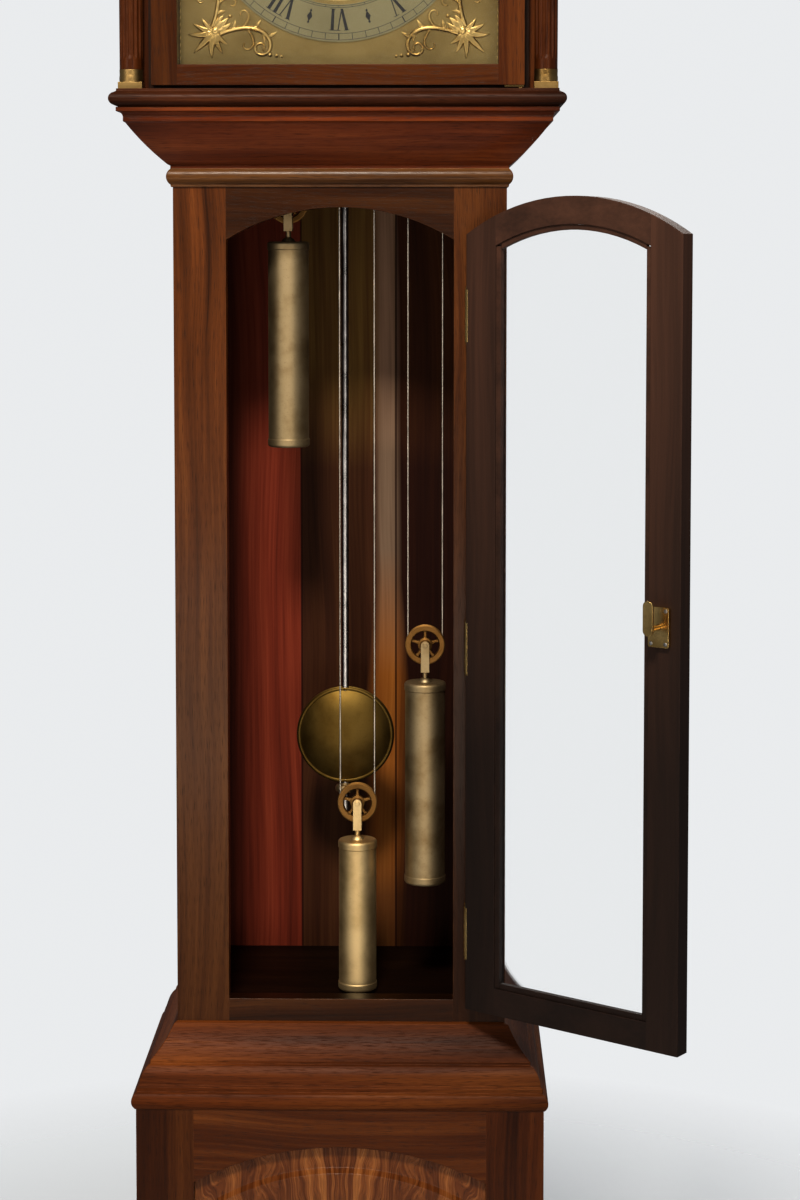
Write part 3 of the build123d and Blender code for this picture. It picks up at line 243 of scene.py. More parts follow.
def wood(name, grain, cols=RED, rough=0.31, coat=0.06, edge=0.0016, wear=0.35, inner=None, seed=0.0, ribbon=0.5, spec=0.18, band=None, rails=None, fade=None, across=None):
    """Polished wood with ribbon tone, streaks and open pores along the grain."""
    g = Graph(name)
    p = g.v("ADD", g.coord(), (seed, seed * 0.7, seed * 1.3))
    x, y, z = g.sep(g.coord())
    a, b, c = grain(g, x, y, z)
    a = g.m("ADD", a, seed)
    # a slow sway of the grain
    sway = g.noise(g.comb(g.m("MULTIPLY", b, 3.0), g.m("MULTIPLY", c, 3.0), g.m("MULTIPLY", a, 2.4)), detail=1.0)
    b2 = g.m("ADD", b, g.m("MULTIPLY", g.m("SUBTRACT", sway, 0.5), 0.05))
    broad = g.noise(g.comb(g.m("MULTIPLY", b2, 26.0), g.m("MULTIPLY", c, 26.0), g.m("MULTIPLY", a, 1.3)), detail=2.0, rough=0.55)
    streak = g.noise(g.comb(g.m("MULTIPLY", b2, 230.0), g.m("MULTIPLY", c, 230.0), g.m("MULTIPLY", a, 5.0)), detail=2.0, rough=0.6)
    pores = g.noise(g.comb(g.m("MULTIPLY", b2, 1500.0), g.m("MULTIPLY", c, 1500.0), g.m("MULTIPLY", a, 55.0)), detail=1.0)
    tone = g.m("ADD", g.m("MULTIPLY", broad, 1.0 - ribbon * 0.6), g.m("MULTIPLY", streak, ribbon * 0.6))
    col = g.ramp(tone, [(0.30, cols[0]), (0.50, cols[1]), (0.70, cols[2])])
    if band is not None:
        # one member of the moulding is run in a paler wood
        z0, z1, pale = band
        inside = g.m("MULTIPLY", g.m("GREATER_THAN", z, z0), g.m("LESS_THAN", z, z1))
        col = g.mix(inside, col, g.ramp(tone, [(0.30, pale[0]), (0.50, pale[1]), (0.70, pale[2])]))
    if rails is not None:
        # rails between the stiles take a scaled copy of the colour; on the trunk frame the darker rails are painted
        # shade below the throat; the upward face of the sill is darkened further
        half, deep = rails
        between = g.m("LESS_THAN", g.m("ABSOLUTE", x), half)
        col = g.mix(between, col, g.ramp(tone, [(0.30, tuple(v * deep for v in cols[0])), (0.50, tuple(v * deep for v in cols[1])), (0.70, tuple(v * deep for v in cols[2]))]))
        up = g.m("MULTIPLY", between, g.remap(g.v("DOT_PRODUCT", g.coord("Normal"), (0.0, 0.0, 1.0)), 0.5, 0.8, 0.0, 0.9))
        col = g.mix(up, col, tuple(v * 0.3 for v in cols[0]))
    if fade is not None:
        # painted light: a height grade, darker low down and brighter higher up as the light from above falls; equal
        # ends give a flat factor
        z0, z1, k0, k1, kr = fade
        k = g.remap(z, z0, z1, k0, k1)
        # the right half (x > 0) is scaled by its own factor; on the trunk frame this is painted shade on the right
        # stile
        k = g.m("MULTIPLY", k, g.m("SUBTRACT", 1.0, g.m("MULTIPLY", g.m("GREATER_THAN", x, 0.0), 1.0 - kr)))
        if rails is not None:
            k = g.m("ADD", g.m("MULTIPLY", k, g.m("SUBTRACT", 1.0, between)), between)
        col = g.mix(1.0, col, g.comb(k, k, k), "MULTIPLY")
    if across is not None:
        # tone drifts from the left end to the right; the darker ends round the mitres are painted shade, where the
        # mouldings turn out of the light
        kl, kr, x0, x1, ke = across
        k = g.m("MULTIPLY", g.remap(x, -x1, x1, kl, kr), g.remap(g.m("ABSOLUTE", x), x0, x1, 1.0, ke))
        col = g.mix(1.0, col, g.comb(k, k, k), "MULTIPLY")
    pore_mask = g.remap(pores, 0.56, 0.70, 0.0, 1.0)
    col = g.mix(g.m("MULTIPLY", pore_mask, 0.55), col, tuple(v * 0.35 for v in cols[0]))
    bev = g.bevel(edge)
    geo = g.n.new("ShaderNodeNewGeometry")
    sharp = g.remap(g.v("DOT_PRODUCT", bev, geo.outputs["Normal"]), 0.995, 0.88, 0.0, 1.0)
    patch = g.noise(p, scale=38.0, detail=3.0)
    worn = g.m("MULTIPLY", sharp, g.remap(patch, 0.40, 0.62, 0.0, wear))
    col = g.mix(worn, col, tuple(min(1.0, v * 1.6 + 0.02) for v in cols[2]))
    smear = g.noise(p, scale=7.0, detail=3.0)
    rgh = g.m("ADD", rough - 0.07, g.m("MULTIPLY", smear, 0.14))
    rgh = g.m("ADD", rgh, g.m("MULTIPLY", pore_mask, 0.12), clamp=True)
    if inner is not None:
        # the face turned to the inside is stained dark and left dull, with painted shade darkening it further; a height
        # grade paints it darker towards the foot and lighter higher up
        axis, dark, (d0, d1, dk0, dk1) = inner
        nrm = g.coord("Normal")
        face = g.remap(g.v("DOT_PRODUCT", nrm, tuple(axis)), -0.55, -0.35, 0.0, 1.0)
        dcol = g.ramp(tone, [(0.30, tuple(v * 0.55 for v in dark)), (0.70, tuple(v * 1.5 for v in dark))])
        dk = g.remap(z, d0, d1, dk0, dk1)
        dcol = g.mix(1.0, dcol, g.comb(dk, dk, dk), "MULTIPLY")
        dcol = g.mix(worn, dcol, tuple(v * 3.0 for v in dark))
        col = g.mix(face, col, dcol)
        rgh = g.m("ADD", rgh, g.m("MULTIPLY", face, 0.16), clamp=True)
    height = g.m("ADD", g.m("MULTIPLY", pore_mask, -1.0), g.m("MULTIPLY", streak, 0.35))
    nor = g.bump(height, 0.00012, 0.5, bev)
    return g.set(color=col, rough=rgh, normal=nor, coat=coat, coat_rough=0.14, spec=spec)


def flame_veneer(name):
    """Book-matched crotch figure: plumes that rise and spread from the middle."""
    g = Graph(name)
    x, y, z = g.sep(g.coord())
    ax = g.m("ABSOLUTE", x)
    warp = g.noise(g.comb(g.m("MULTIPLY", ax, 9.0), 0.0, g.m("MULTIPLY", z, 5.0)), detail=3.0, rough=0.6)
    plume = g.m("SUBTRACT", g.m("MULTIPLY", g.m("POWER", g.m("ADD", ax, 0.004), 0.55), 1.15), g.m("MULTIPLY", z, 0.55))
    plume = g.m("ADD", plume, g.m("MULTIPLY", warp, 0.22))
    bands = g.noise(g.comb(g.m("MULTIPLY", plume, 34.0), g.m("MULTIPLY", ax, 7.0), g.m("MULTIPLY", z, 2.0)), detail=3.0, rough=0.6)
    fine = g.noise(g.comb(g.m("MULTIPLY", plume, 260.0), g.m("MULTIPLY", ax, 60.0), g.m("MULTIPLY", z, 14.0)), detail=2.0)
    pores = g.noise(g.comb(g.m("MULTIPLY", plume, 900.0), g.m("MULTIPLY", ax, 400.0), g.m("MULTIPLY", z, 60.0)), detail=0.0)
    tone = g.m("ADD", g.m("MULTIPLY", bands, 0.75), g.m("MULTIPLY", fine, 0.25))
    col = g.ramp(tone, [(0.33, (0.052, 0.0140, 0.0038)), (0.46, (0.140, 0.040, 0.0098)), (0.56, (0.265, 0.092, 0.0240)), (0.68, (0.420, 0.172, 0.0500))])
    mask = g.remap(pores, 0.58, 0.72, 0.0, 1.0)
    col = g.mix(g.m("MULTIPLY", mask, 0.5), col, (0.012, 0.004, 0.002))
    bev = g.bevel(0.0016)
    nor = g.bump(g.m("MULTIPLY", mask, -1.0), 0.0001, 0.4, bev)
    rgh = g.m("ADD", 0.20, g.m("MULTIPLY", fine, 0.14))
    return g.set(color=col, rough=rgh, normal=nor, coat=0.22, coat_rough=0.10, spec=0.30)


def raw_boards(name, cols, rough=0.62, pitch=0.118):
    """Backboard and inner boards: planks with joints, dull red-brown stain, with painted light and shade."""
    g = Graph(name)
    x, y, z = g.sep(g.coord())
    idx = g.m("FLOOR", g.m("DIVIDE", g.m("ADD", x, 0.059), pitch))
    ax = g.m("ADD", x, g.m("MULTIPLY", idx, 0.37))
    sway = g.noise(g.comb(g.m("MULTIPLY", ax, 4.0), y, g.m("MULTIPLY", z, 1.6)), detail=1.0)
    b2 = g.m("ADD", ax, g.m("MULTIPLY", g.m("SUBTRACT", sway, 0.5), 0.07))
    broad = g.noise(g.comb(g.m("MULTIPLY", b2, 30.0), g.m("MULTIPLY", y, 30.0), g.m("MULTIPLY", z, 1.2)), detail=3.0)
    streak = g.noise(g.comb(g.m("MULTIPLY", b2, 300.0), g.m("MULTIPLY", y, 300.0), g.m("MULTIPLY", z, 6.0)), detail=2.0)
    tone = g.m("ADD", g.m("MULTIPLY", broad, 0.6), g.m("MULTIPLY", streak, 0.4))
    tone = g.m("ADD", tone, g.m("MULTIPLY", g.m("SUBTRACT", g.noise(g.comb(idx, 3.7, 1.1), detail=0.0), 0.5), 0.25))
    col = g.ramp(tone, [(0.30, cols[0]), (0.50, cols[1]), (0.72, cols[2])])
    # painted light and shade on three boards: the left board keeps its red, the middle and right boards are darkened as
    # painted shade, and above z 1.14 to 1.28 the middle board is brightened as painted light against the arch's shadow
    facing = g.remap(g.v("DOT_PRODUCT", g.coord("Normal"), (0.0, -1.0, 0.0)), 0.3, 0.7, 0.0, 1.0)
    for edge, dark, high in ((-0.059, (0.27, 0.52, 0.42), (0.85, 2.60, 1.45)), (0.059, (0.36, 0.22, 0.18), (0.33, 0.17, 0.20))):
        over = g.m("MULTIPLY", facing, g.m("GREATER_THAN", x, edge))
        tint = g.mix(g.remap(z, 1.14, 1.28, 0.0, 1.0), dark, high)
        col = g.mix(over, col, g.mix(1.0, col, tint, "MULTIPLY"))
    # the outer face was never stained
    col = g.mix(g.m("SUBTRACT", 1.0, facing), col, g.mix(1.0, col, (0.42, 1.05, 1.05), "MULTIPLY"))
    # painted light: a streak along the middle board, orange near the foot where light falls between the shadows of the
    # bob and the weights, pale higher up and brightened further above the arch's shadow line
    off = g.m("ADD", g.m("SUBTRACT", x, 0.046), g.m("MULTIPLY", g.m("SUBTRACT", sway, 0.5), 0.030))
    spread = g.m("DIVIDE", g.m("ABSOLUTE", off), g.remap(z, 0.86, 1.00, 1.7, 1.0))
    painted_light_streak = g.remap(spread, 0.017, 0.007, 0.0, 1.0)
    painted_light_streak = g.m("MULTIPLY", g.m("MULTIPLY", painted_light_streak, facing), g.remap(z, 0.60, 0.68, 0.25, 0.90))
    low = g.ramp(tone, [(0.30, (0.200, 0.060, 0.0095)), (0.50, (0.370, 0.122, 0.0190)), (0.72, (0.500, 0.190, 0.0340))])
    pale = g.ramp(tone, [(0.30, (0.120, 0.078, 0.051)), (0.50, (0.225, 0.150, 0.101)), (0.72, (0.330, 0.230, 0.160))])
    pale = g.mix(1.0, pale, g.mix(g.remap(z, 1.16, 1.28, 0.0, 1.0), (1.0, 1.0, 1.0), (1.9, 1.75, 1.75)), "MULTIPLY")
    col = g.mix(painted_light_streak, col, g.mix(g.remap(z, 0.88, 1.04, 0.0, 1.0), low, pale))
    frac = g.m("FRACT", g.m("DIVIDE", g.m("ADD", x, 0.059), pitch))
    joint = g.m("ADD", g.m("LESS_THAN", frac, 0.010), g.m("GREATER_THAN", frac, 0.990), clamp=True)
    col = g.mix(g.m("MULTIPLY", joint, 0.8), col, tuple(v * 0.2 for v in cols[0]))
    # painted shade in the corners against the case sides
    corner = g.m("ADD", g.m("ABSOLUTE", x), g.m("MULTIPLY", g.m("SUBTRACT", broad, 0.5), 0.016))
    col = g.mix(g.m("MULTIPLY", facing, g.remap(corner, 0.128, 0.146, 0.0, 0.60)), col, tuple(v * 0.16 for v in cols[0]))
    bev = g.bevel(0.0012)
    nor = g.bump(g.m("ADD", g.m("MULTIPLY", joint, -3.0), streak), 0.0004, 0.5, bev)
    return g.set(color=col, rough=g.m("ADD", rough - 0.08, g.m("MULTIPLY", broad, 0.16)), normal=nor, coat=0.0, spec=0.12)


def brass(name, col=(0.78, 0.56, 0.24), rough=0.24, lathe=None, tarnish=0.35, edge=0.0008, bump=1.0, vary=1.0):
    """Lacquered brass: faint tarnish, fine marks, turning lines where it was turned."""
    g = Graph(name)
    p = g.coord()
    x, y, z = g.sep(p)
    blotch = g.noise(p, scale=24.0, detail=4.0, rough=0.6)
    speck = g.noise(p, scale=520.0, detail=2.0)
    low = [1.0 - vary * d for d in (0.34, 0.40, 0.50)]
    top = [1.0 + vary * d for d in (0.10, 0.12, 0.18)]
    c = g.ramp(blotch, [(0.32, tuple(v * k for v, k in zip(col, low))), (0.55, col), (0.75, tuple(min(1, v * k) for v, k in zip(col, top)))])
    c = g.mix(g.m("MULTIPLY", g.remap(speck, 0.60, 0.78, 0.0, 1.0), tarnish), c, tuple(v * k for v, k in zip(col, (0.42, 0.34, 0.25))))
    bev = g.bevel(edge)
    if lathe == "z":
        lines = g.noise(g.comb(g.m("MULTIPLY", x, 14.0), g.m("MULTIPLY", y, 14.0), g.m("MULTIPLY", z, 2600.0)), detail=1.0)
    elif lathe is not None:
        lx, lz = lathe
        r = g.v("LENGTH", g.comb(g.m("SUBTRACT", x, lx), 0.0, g.m("SUBTRACT", z, lz)))
        lines = g.noise(g.comb(g.m("MULTIPLY", r, 2600.0), 0.0, 0.0), detail=1.0)
    else:
        lines = g.noise(p, scale=900.0, detail=2.0)
    nor = g.bump(lines, 0.00002 * bump, 0.5, bev)
    rgh = g.m("ADD", rough - 0.06, g.m("MULTIPLY", blotch, 0.14))
    return g.set(color=c, metal=1.0, rough=rgh, normal=nor)


def steel(name, col=(0.46, 0.46, 0.47), rough=0.28):
    g = Graph(name)
    p = g.coord()
    x, y, z = g.sep(p)
    lines = g.noise(g.comb(g.m("MULTIPLY", x, 900.0), g.m("MULTIPLY", y, 900.0), g.m("MULTIPLY", z, 18.0)), detail=2.0)
    spot = g.noise(p, scale=60.0, detail=3.0)
    c = g.ramp(spot, [(0.35, tuple(v * 0.72 for v in col)), (0.65, tuple(min(1.0, v * 1.15) for v in col))])
    nor = g.bump(lines, 0.00002, 0.4, g.bevel(0.0005))
    return g.set(color=c, metal=1.0, rough=g.m("ADD", rough - 0.05, g.m("MULTIPLY", spot, 0.12)), normal=nor)


def glass(name):
    g = Graph(name)
    p = g.coord()
    wave = g.noise(p, scale=5.0, detail=1.0)
    nor = g.bump(wave, 0.0005, 0.15)
    film = g.noise(p, scale=13.0, detail=4.0)
    rgh = g.remap(film, 0.45, 0.75, 0.005, 0.03)
    return g.set(color=(0.975, 0.990, 0.982), rough=rgh, trans=1.0, ior=1.01, alpha=0.30, normal=nor, coat=1.0, coat_rough=0.012)


M = {}
M["case_z"] = wood("case_wood_upright", grain_z)
M["case_x"] = wood("case_wood_across", grain_x, seed=1.7)
# trunk frame: the darker rails are painted shade below the throat, the height grade is painted light from above, and
# the darker right stile is painted shade
M["trunk_frame"] = wood("trunk_frame_wood", switch(beyond_x(OPEN_W), grain_z, grain_x), seed=0.4, cols=((0.026, 0.0074, 0.0018), (0.106, 0.0315, 0.0068), (0.225, 0.080, 0.0190)), rails=(OPEN_W, 0.475), fade=(0.90, 1.34, 0.56, 1.60, 0.55))
M["base_frame"] = wood("base_frame_wood", switch(beyond_x(0.168), grain_z, grain_x), seed=2.3, rails=(0.168, 0.96), fade=(0.0, 1.0, 0.62, 0.62, 1.6))
M["hood_door"] = wood("hood_door_wood", switch(beyond_x(0.179), grain_z, grain_x), seed=3.1, rails=(0.179, 0.82), fade=(0.0, 1.0, 0.56, 0.56, 1.75))
# throat: a brighter copy of the case mahogany is painted light on the downward-facing cove; its darker mitred ends are
# painted shade
M["throat"] = wood("throat_wood", switch(side_of_mitre(TW, TF), grain_y, grain_x), seed=4.2, cols=((0.044, 0.0085, 0.0020), (0.168, 0.0340, 0.0066), (0.330, 0.085, 0.0180)), band=(1.4858, 1.5072, ((0.056, 0.020, 0.0050), (0.165, 0.068, 0.0170), (0.280, 0.132, 0.0370))), across=(1.0, 1.0, 0.185, 0.245, 0.62))
# base moulding: brighter at the left end and darker at the right; its darker mitred ends are painted shade
M["base_mould"] = wood("base_moulding_wood", switch(side_of_mitre(TW, TF), grain_y, grain_x), seed=5.3, rough=0.44, coat=0.0, spec=0.10, cols=((0.030, 0.0066, 0.0013), (0.116, 0.0285, 0.0046), (0.240, 0.073, 0.0135)), across=(1.28, 0.68, 0.200, 0.240, 0.85))
# hood base: its darker ends round the mitres are painted shade
M["hood_base"] = wood("hood_base_wood", switch(side_of_mitre(TW + 0.003, TF - 0.003), grain_y, grain_x), seed=6.4, cols=((0.018, 0.0048, 0.0018), (0.068, 0.0180, 0.0052), (0.165, 0.050, 0.0150)), rough=0.40, spec=0.12, coat=0.0, across=(1.0, 1.0, 0.190, 0.254, 0.50))
M["plinth"] = wood("plinth_wood", switch(side_of_mitre(BASE_W, BASE_F), grain_y, grain_x), seed=7.5)
M["cornice"] = wood("cornice_wood", grain_y, seed=8.1)
# trunk door: the inside face is dark stain plus painted shade, graded by height as painted light
M["door"] = wood("trunk_door_wood", switch(door_stile, grain_z, grain_x), seed=9.0, inner=(DN, (0.026, 0.0112, 0.0066), (0.84, 1.38, 0.55, 2.50)), rough=0.40, coat=0.0, spec=0.28)
M["veneer"] = flame_veneer("flame_veneer")
M["back"] = raw_boards("backboard_wood", ((0.088, 0.0125, 0.0058), (0.215, 0.0340, 0.0150), (0.350, 0.0680, 0.0300)))
# the trunk floor is coloured near black: painted shade for the dark space below the weights
M["floor_painted_shade"] = wood("trunk_floor_painted_shade", grain_x, cols=((0.0035, 0.0011, 0.0005), (0.010, 0.0030, 0.0011), (0.022, 0.0075, 0.0028)), rough=0.50, coat=0.0, spec=0.10)
M["mask"] = wood("mask_wood", grain_z, cols=((0.010, 0.004, 0.002), (0.030, 0.011, 0.005), (0.07, 0.026, 0.011)), rough=0.4)
M["brass"] = brass("brass_cast")
M["brass_turned"] = brass("brass_turned", lathe="z", rough=0.50, col=(0.465, 0.362, 0.212))
# the going weight gets a brighter copy of the turned brass: painted light, since it hangs low where the lamp reaches
# less
M["brass_going_lit"] = brass("brass_turned_painted_light", lathe="z", rough=0.50, col=(0.86, 0.67, 0.37), tarnish=0.25, vary=0.6)
M["brass_mount"] = brass("brass_mount", rough=0.38, col=(0.46, 0.31, 0.125), tarnish=0.45)
M["brass_dull"] = brass("brass_dull", rough=0.44, col=(0.250, 0.135, 0.042), tarnish=0.5)
# the bob's brass is darkened: painted shade for its place deep in the trunk
M["brass_bob_shaded"] = brass("brass_bob_shaded", lathe=(0.0, 0.828), rough=0.47, col=(0.165, 0.106, 0.027), bump=2.0)
M["brass_dial"] = brass("brass_dial", lathe=(0.0, DIAL_C), rough=0.36, col=(0.315, 0.230, 0.094), tarnish=0.22, vary=0.45)
M["brass_plate"] = brass("brass_plate", rough=0.36, col=(0.66, 0.48, 0.20), tarnish=0.5)
M["silver"] = brass("silvered_ring", lathe=(0.0, DIAL_C), rough=0.42, col=(0.265, 0.236, 0.138), tarnish=0.12, vary=0.22)
M["steel"] = steel("grey_steel")
M["line"] = steel("line_strands", col=(0.80, 0.74, 0.65), rough=0.38)
M["blue"] = steel("blued_steel", col=(0.020, 0.028, 0.075), rough=0.22)
M["glass"] = glass("window_glass")

FINISH = {
    "case_z": ("base_carcass", "trunk_sides", "hood_sides", "hood_columns"),
    "case_x": ("hood_top", "pediment"),
    "trunk_frame": ("trunk_front_frame",), "base_frame": ("base_front_frame",), "hood_door": ("hood_door_frame",),
    "throat": ("throat_moulding",), "base_mould": ("base_moulding",), "hood_base": ("hood_base_frame",), "plinth": ("plinth",),
    "cornice": ("hood_cornice",), "door": ("trunk_door_frame",), "veneer": ("base_panel",),
    "back": ("backboard", "seatboard"), "floor_painted_shade": ("trunk_floor",), "mask": ("dial_mask",),
    "brass": ("case_hinge_leaves", "door_hinge_leaves", "dial_ornaments", "hood_door_fittings", "door_lock", "door_key"),
    "brass_going_lit": ("going_weight",), "brass_mount": ("column_mounts",),
    "brass_turned": ("finials", "rating_nut", "strike_weight", "chime_weight", "strike_pulley", "going_pulley", "chime_pulley",
                     "strike_barrel", "going_barrel", "chime_barrel"),
    "brass_bob_shaded": ("pendulum_bob",), "brass_dial": ("dial_plate",), "silver": ("chapter_rings",),
    "brass_plate": ("movement_frame", "back_cock", "centre_wheel", "third_wheel", "escape_wheel", "great_wheel"),
    "steel": ("chime_rods", "chime_hammers", "anchor_crutch", "suspension_spring", "pendulum_rod"),
    "line": ("strike_line", "going_line", "chime_line"),
    "blue": ("minute_hand", "hour_hand", "seconds_hand"),
    "glass": ("hood_door_glass", "trunk_door_glass"),
}
for key, names in FINISH.items():
    for nm in names:
        ob = NODES[nm]
        if not ob.material_slots:
            ob.data.materials.append(M[key])
        for s in ob.material_slots:
            s.material = M[key]


# ------------------------------------------------------------- mesh helpers
def new_mesh(name, verts, faces, mat, body, slot=None, smooth=False):
    me = bpy.data.meshes.new(name)
    me.from_pydata(verts, [], faces)
    me.update()
    me.materials.append(mat)
    ob = bpy.data.objects.new(name, me)
    scene.collection.objects.link(ob)
    if smooth:
        for pl in me.polygons:
            pl.use_smooth = True
    if body:
        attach(ob, body)
    return ob


def from_bm(name, bm, mat, body, smooth=False, recalc=True):
    if recalc:
        bmesh.ops.recalc_face_normals(bm, faces=bm.faces[:])
    me = bpy.data.meshes.new(name)
    bm.to_mesh(me)
    bm.free()
    me.materials.append(mat)
    if smooth:
        for pl in me.polygons:
            pl.use_smooth = True
    ob = bpy.data.objects.new(name, me)
    scene.collection.objects.link(ob)
    if body:
        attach(ob, body)
    return ob


FX, FZ, FN = Vector((1, 0, 0)), Vector((0, 0, 1)), Vector((0, -1, 0))


def bridge(bm, a, b):
    """Faces between two rings of the same length, or between a ring and a point."""
    if len(a) == 1 and len(b) == 1:
        return
    n = max(len(a), len(b))
    for i in range(n):
        j = (i + 1) % n
        if len(a) == 1:
            bm.faces.new((a[0], b[j], b[i]))
        elif len(b) == 1:
            bm.faces.new((a[i], a[j], b[0]))
        else:
            bm.faces.new((a[i], a[j], b[j], b[i]))


def lathe(bm, profile, origin, e1, e2, axis, seg=48, closed=False):
    """Turn (radius, height) pairs about an axis; closed joins the last pair to the first."""
    o = Vector(origin)
    rings = []
    for r, h in profile:
        if r < 1e-7:
            rings.append([bm.verts.new(o + axis * h)])
        else:
            rings.append([bm.verts.new(o + axis * h + e1 * (r * math.cos(2 * math.pi * i / seg)) + e2 * (r * math.sin(2 * math.pi * i / seg)))
                          for i in range(seg)])
    for a, b in zip(rings, rings[1:]):
        bridge(bm, a, b)
    if closed:
        bridge(bm, rings[-1], rings[0])
    return bm


def slab(bm, poly, origin, e1, e2, axis, h0, h1):
    """Closed plate from a flat outline, between heights h0 and h1 along the axis."""
    o = Vector(origin)
    lo = [bm.verts.new(o + e1 * a + e2 * b + axis * h0) for a, b in poly]
    hi = [bm.verts.new(o + e1 * a + e2 * b + axis * h1) for a, b in poly]
    bm.faces.new(lo[::-1])
    bm.faces.new(hi)
    bridge(bm, lo, hi)


ROUND = ((-1.0, 0.0), (-0.82, 0.52), (-0.45, 0.88), (0.0, 1.0), (0.45, 0.88), (0.82, 0.52), (1.0, 0.0))
LEAF = ((-1.0, 0.0), (-0.78, 0.70), (-0.38, 1.0), (0.0, 0.66), (0.38, 1.0), (0.78, 0.70), (1.0, 0.0))


def relief(bm, pts, half, high, base, section=ROUND, sink=0.0003):
    """Cast strip on a plane y = base that faces the front, along (x, z) points."""
    rings = []
    for i, (x, z) in enumerate(pts):
        x0, z0 = pts[max(i - 1, 0)]
        x1, z1 = pts[min(i + 1, len(pts) - 1)]
        d = math.hypot(x1 - x0, z1 - z0) or 1.0
        nx, nz = -(z1 - z0) / d, (x1 - x0) / d
        w, h = half[i], high[i]
        rings.append([bm.verts.new((x + nx * w * s, base + (sink if f == 0.0 else -h * f), z + nz * w * s)) for s, f in section])
    for a, b in zip(rings, rings[1:]):
        bridge(bm, a, b)
    bm.faces.new(rings[0][::-1])
    bm.faces.new(rings[-1])


def clothoid(x, z, heading, length, k0, k1, power=2.0, n=40):
    """A scroll line whose curl tightens along its length."""
    pts, a, ds = [(x, z)], heading, length / n
    for i in range(n):
        k = k0 + (k1 - k0) * ((i + 0.5) / n) ** power
        a += k * ds
        x += math.cos(a) * ds
        z += math.sin(a) * ds
        pts.append((x, z))
    return pts


def taper(n, first, mid, last, peak=0.35):
    out = []
    for i in range(n):
        t = i / (n - 1)
        out.append(first + (mid - first) * (t / peak) if t < peak else mid + (last - mid) * ((t - peak) / (1 - peak)))
    return out


def leaf(bm, x, z, heading, length, half, high, bend, base, warp):
    pts = clothoid(x, z, heading, length, bend / length, bend / length, 1.0, 9)
    n = len(pts)
    shape = [max(0.06, math.sin(math.pi * min(1.0, 0.06 + 0.94 * (i / (n - 1)))) ** 0.75 * (1.15 - 0.5 * i / (n - 1))) for i in range(n)]
    relief(bm, [warp(*p) for p in pts], [half * s for s in shape], [high * (0.35 + 0.65 * s) for s in shape], base, LEAF)


def scroll(bm, x, z, heading, length, k0, k1, half, high, base, warp, power=2.0, n=44):
    pts = clothoid(x, z, heading, length, k0, k1, power, n)
    m = len(pts)
    relief(bm, [warp(*p) for p in pts], taper(m, half * 0.8, half, half * 0.42), taper(m, high * 0.8, high, high * 0.62), base)
    return pts


def bead(bm, x, z, r, base, warp, high=None):
    cx, cz = warp(x, z)
    h = high or r * 0.9
    prof = [(r, -0.0003)] + [(r * math.cos(a), h * math.sin(a)) for a in (0.0, 0.4, 0.8, 1.2)] + [(0.0, h)]
    lathe(bm, prof, (cx, base, cz), FX, FZ, FN, 14)


def simple_dark(name, col, rough=0.5):
    g = Graph(name)
    p = g.coord()
    n = g.noise(p, scale=700.0, detail=2.0)
    return g.set(color=g.ramp(n, [(0.3, tuple(v * 0.6 for v in col)), (0.7, tuple(v * 1.5 for v in col))]), rough=g.m("ADD", rough - 0.1, g.m("MULTIPLY", n, 0.2)))


M["wax"] = simple_dark("numeral_wax", (0.012, 0.011, 0.012), 0.42)
M["gilt"] = brass("gilt_castings", col=(0.62, 0.44, 0.175), rough=0.28, tarnish=0.45)

# ---- numerals and minute track on the chapter ring
RING_Y = -0.1356
NUM_IN, NUM_OUT = 0.1148, 0.1392
CAP_H = NUM_OUT - NUM_IN


def numeral_strokes(text):
    """Stroke outlines in (s, t): s along the ring, t from 0 at the foot to 1 at the head."""
    widths = {"I": 0.0072, "V": 0.0140, "X": 0.0142}
    total = sum(widths[c] for c in text)
    polys, s = [], -total / 2
    for c in text:
        w = widths[c]
        m = s + w / 2
        b, t = 0.0017, 0.00055
        sf = 0.028
        if c == "I":
            polys.append([(m - b, 0), (m + b, 0), (m + b, 1), (m - b, 1)])
            for f in (0.0, 1.0 - sf):
                polys.append([(m - 0.0033, f), (m + 0.0033, f), (m + 0.0033, f + sf), (m - 0.0033, f + sf)])
        elif c == "V":
            l, r = m - 0.0046, m + 0.0046
            polys.append([(m - b * 0.9, 0), (m + b * 0.9, 0), (l + b, 1), (l - b, 1)])
            polys.append([(m - t, 0), (m + t * 1.5, 0), (r + t, 1), (r - t, 1)])
            for q in (l, r):
                polys.append([(q - 0.0027, 1 - sf), (q + 0.0027, 1 - sf), (q + 0.0027, 1), (q - 0.0027, 1)])
        else:
            l, r = m - 0.0044, m + 0.0044
            polys.append([(r - b, 0), (r + b, 0), (l + b, 1), (l - b, 1)])
            polys.append([(l - t, 0), (l + t, 0), (r + t, 1), (r - t, 1)])
            for q in (l, r):
                for f in (0.0, 1.0 - sf):
                    polys.append([(q - 0.0027, f), (q + 0.0027, f), (q + 0.0027, f + sf), (q - 0.0027, f + sf)])
        s += w
    return polys


def polar(r, ang):
    """Dial position at radius r and clockwise angle ang from the top."""
    return r * math.sin(ang), DIAL_C + r * math.cos(ang)


bm = bmesh.new()
LIFT = 0.00018
step = 0
for i, txt in enumerate(("XII", "I", "II", "III", "IIII", "V", "VI", "VII", "VIII", "IX", "X", "XI")):
    a0 = i * math.pi / 6
    for poly in numeral_strokes(txt):
        step += 1
        lift = LIFT + 0.000004 * (step % 5)
        out = []
        for s, t in poly:
            r = NUM_IN + CAP_H * t
            x, z = polar(r, a0 + s / 0.127)
            out.append((x, z))
        slab(bm, out, (0, RING_Y, 0), FX, FZ, FN, -0.0002, lift)
from_bm("chapter_numerals", bm, M["wax"], "case")

bm = bmesh.new()


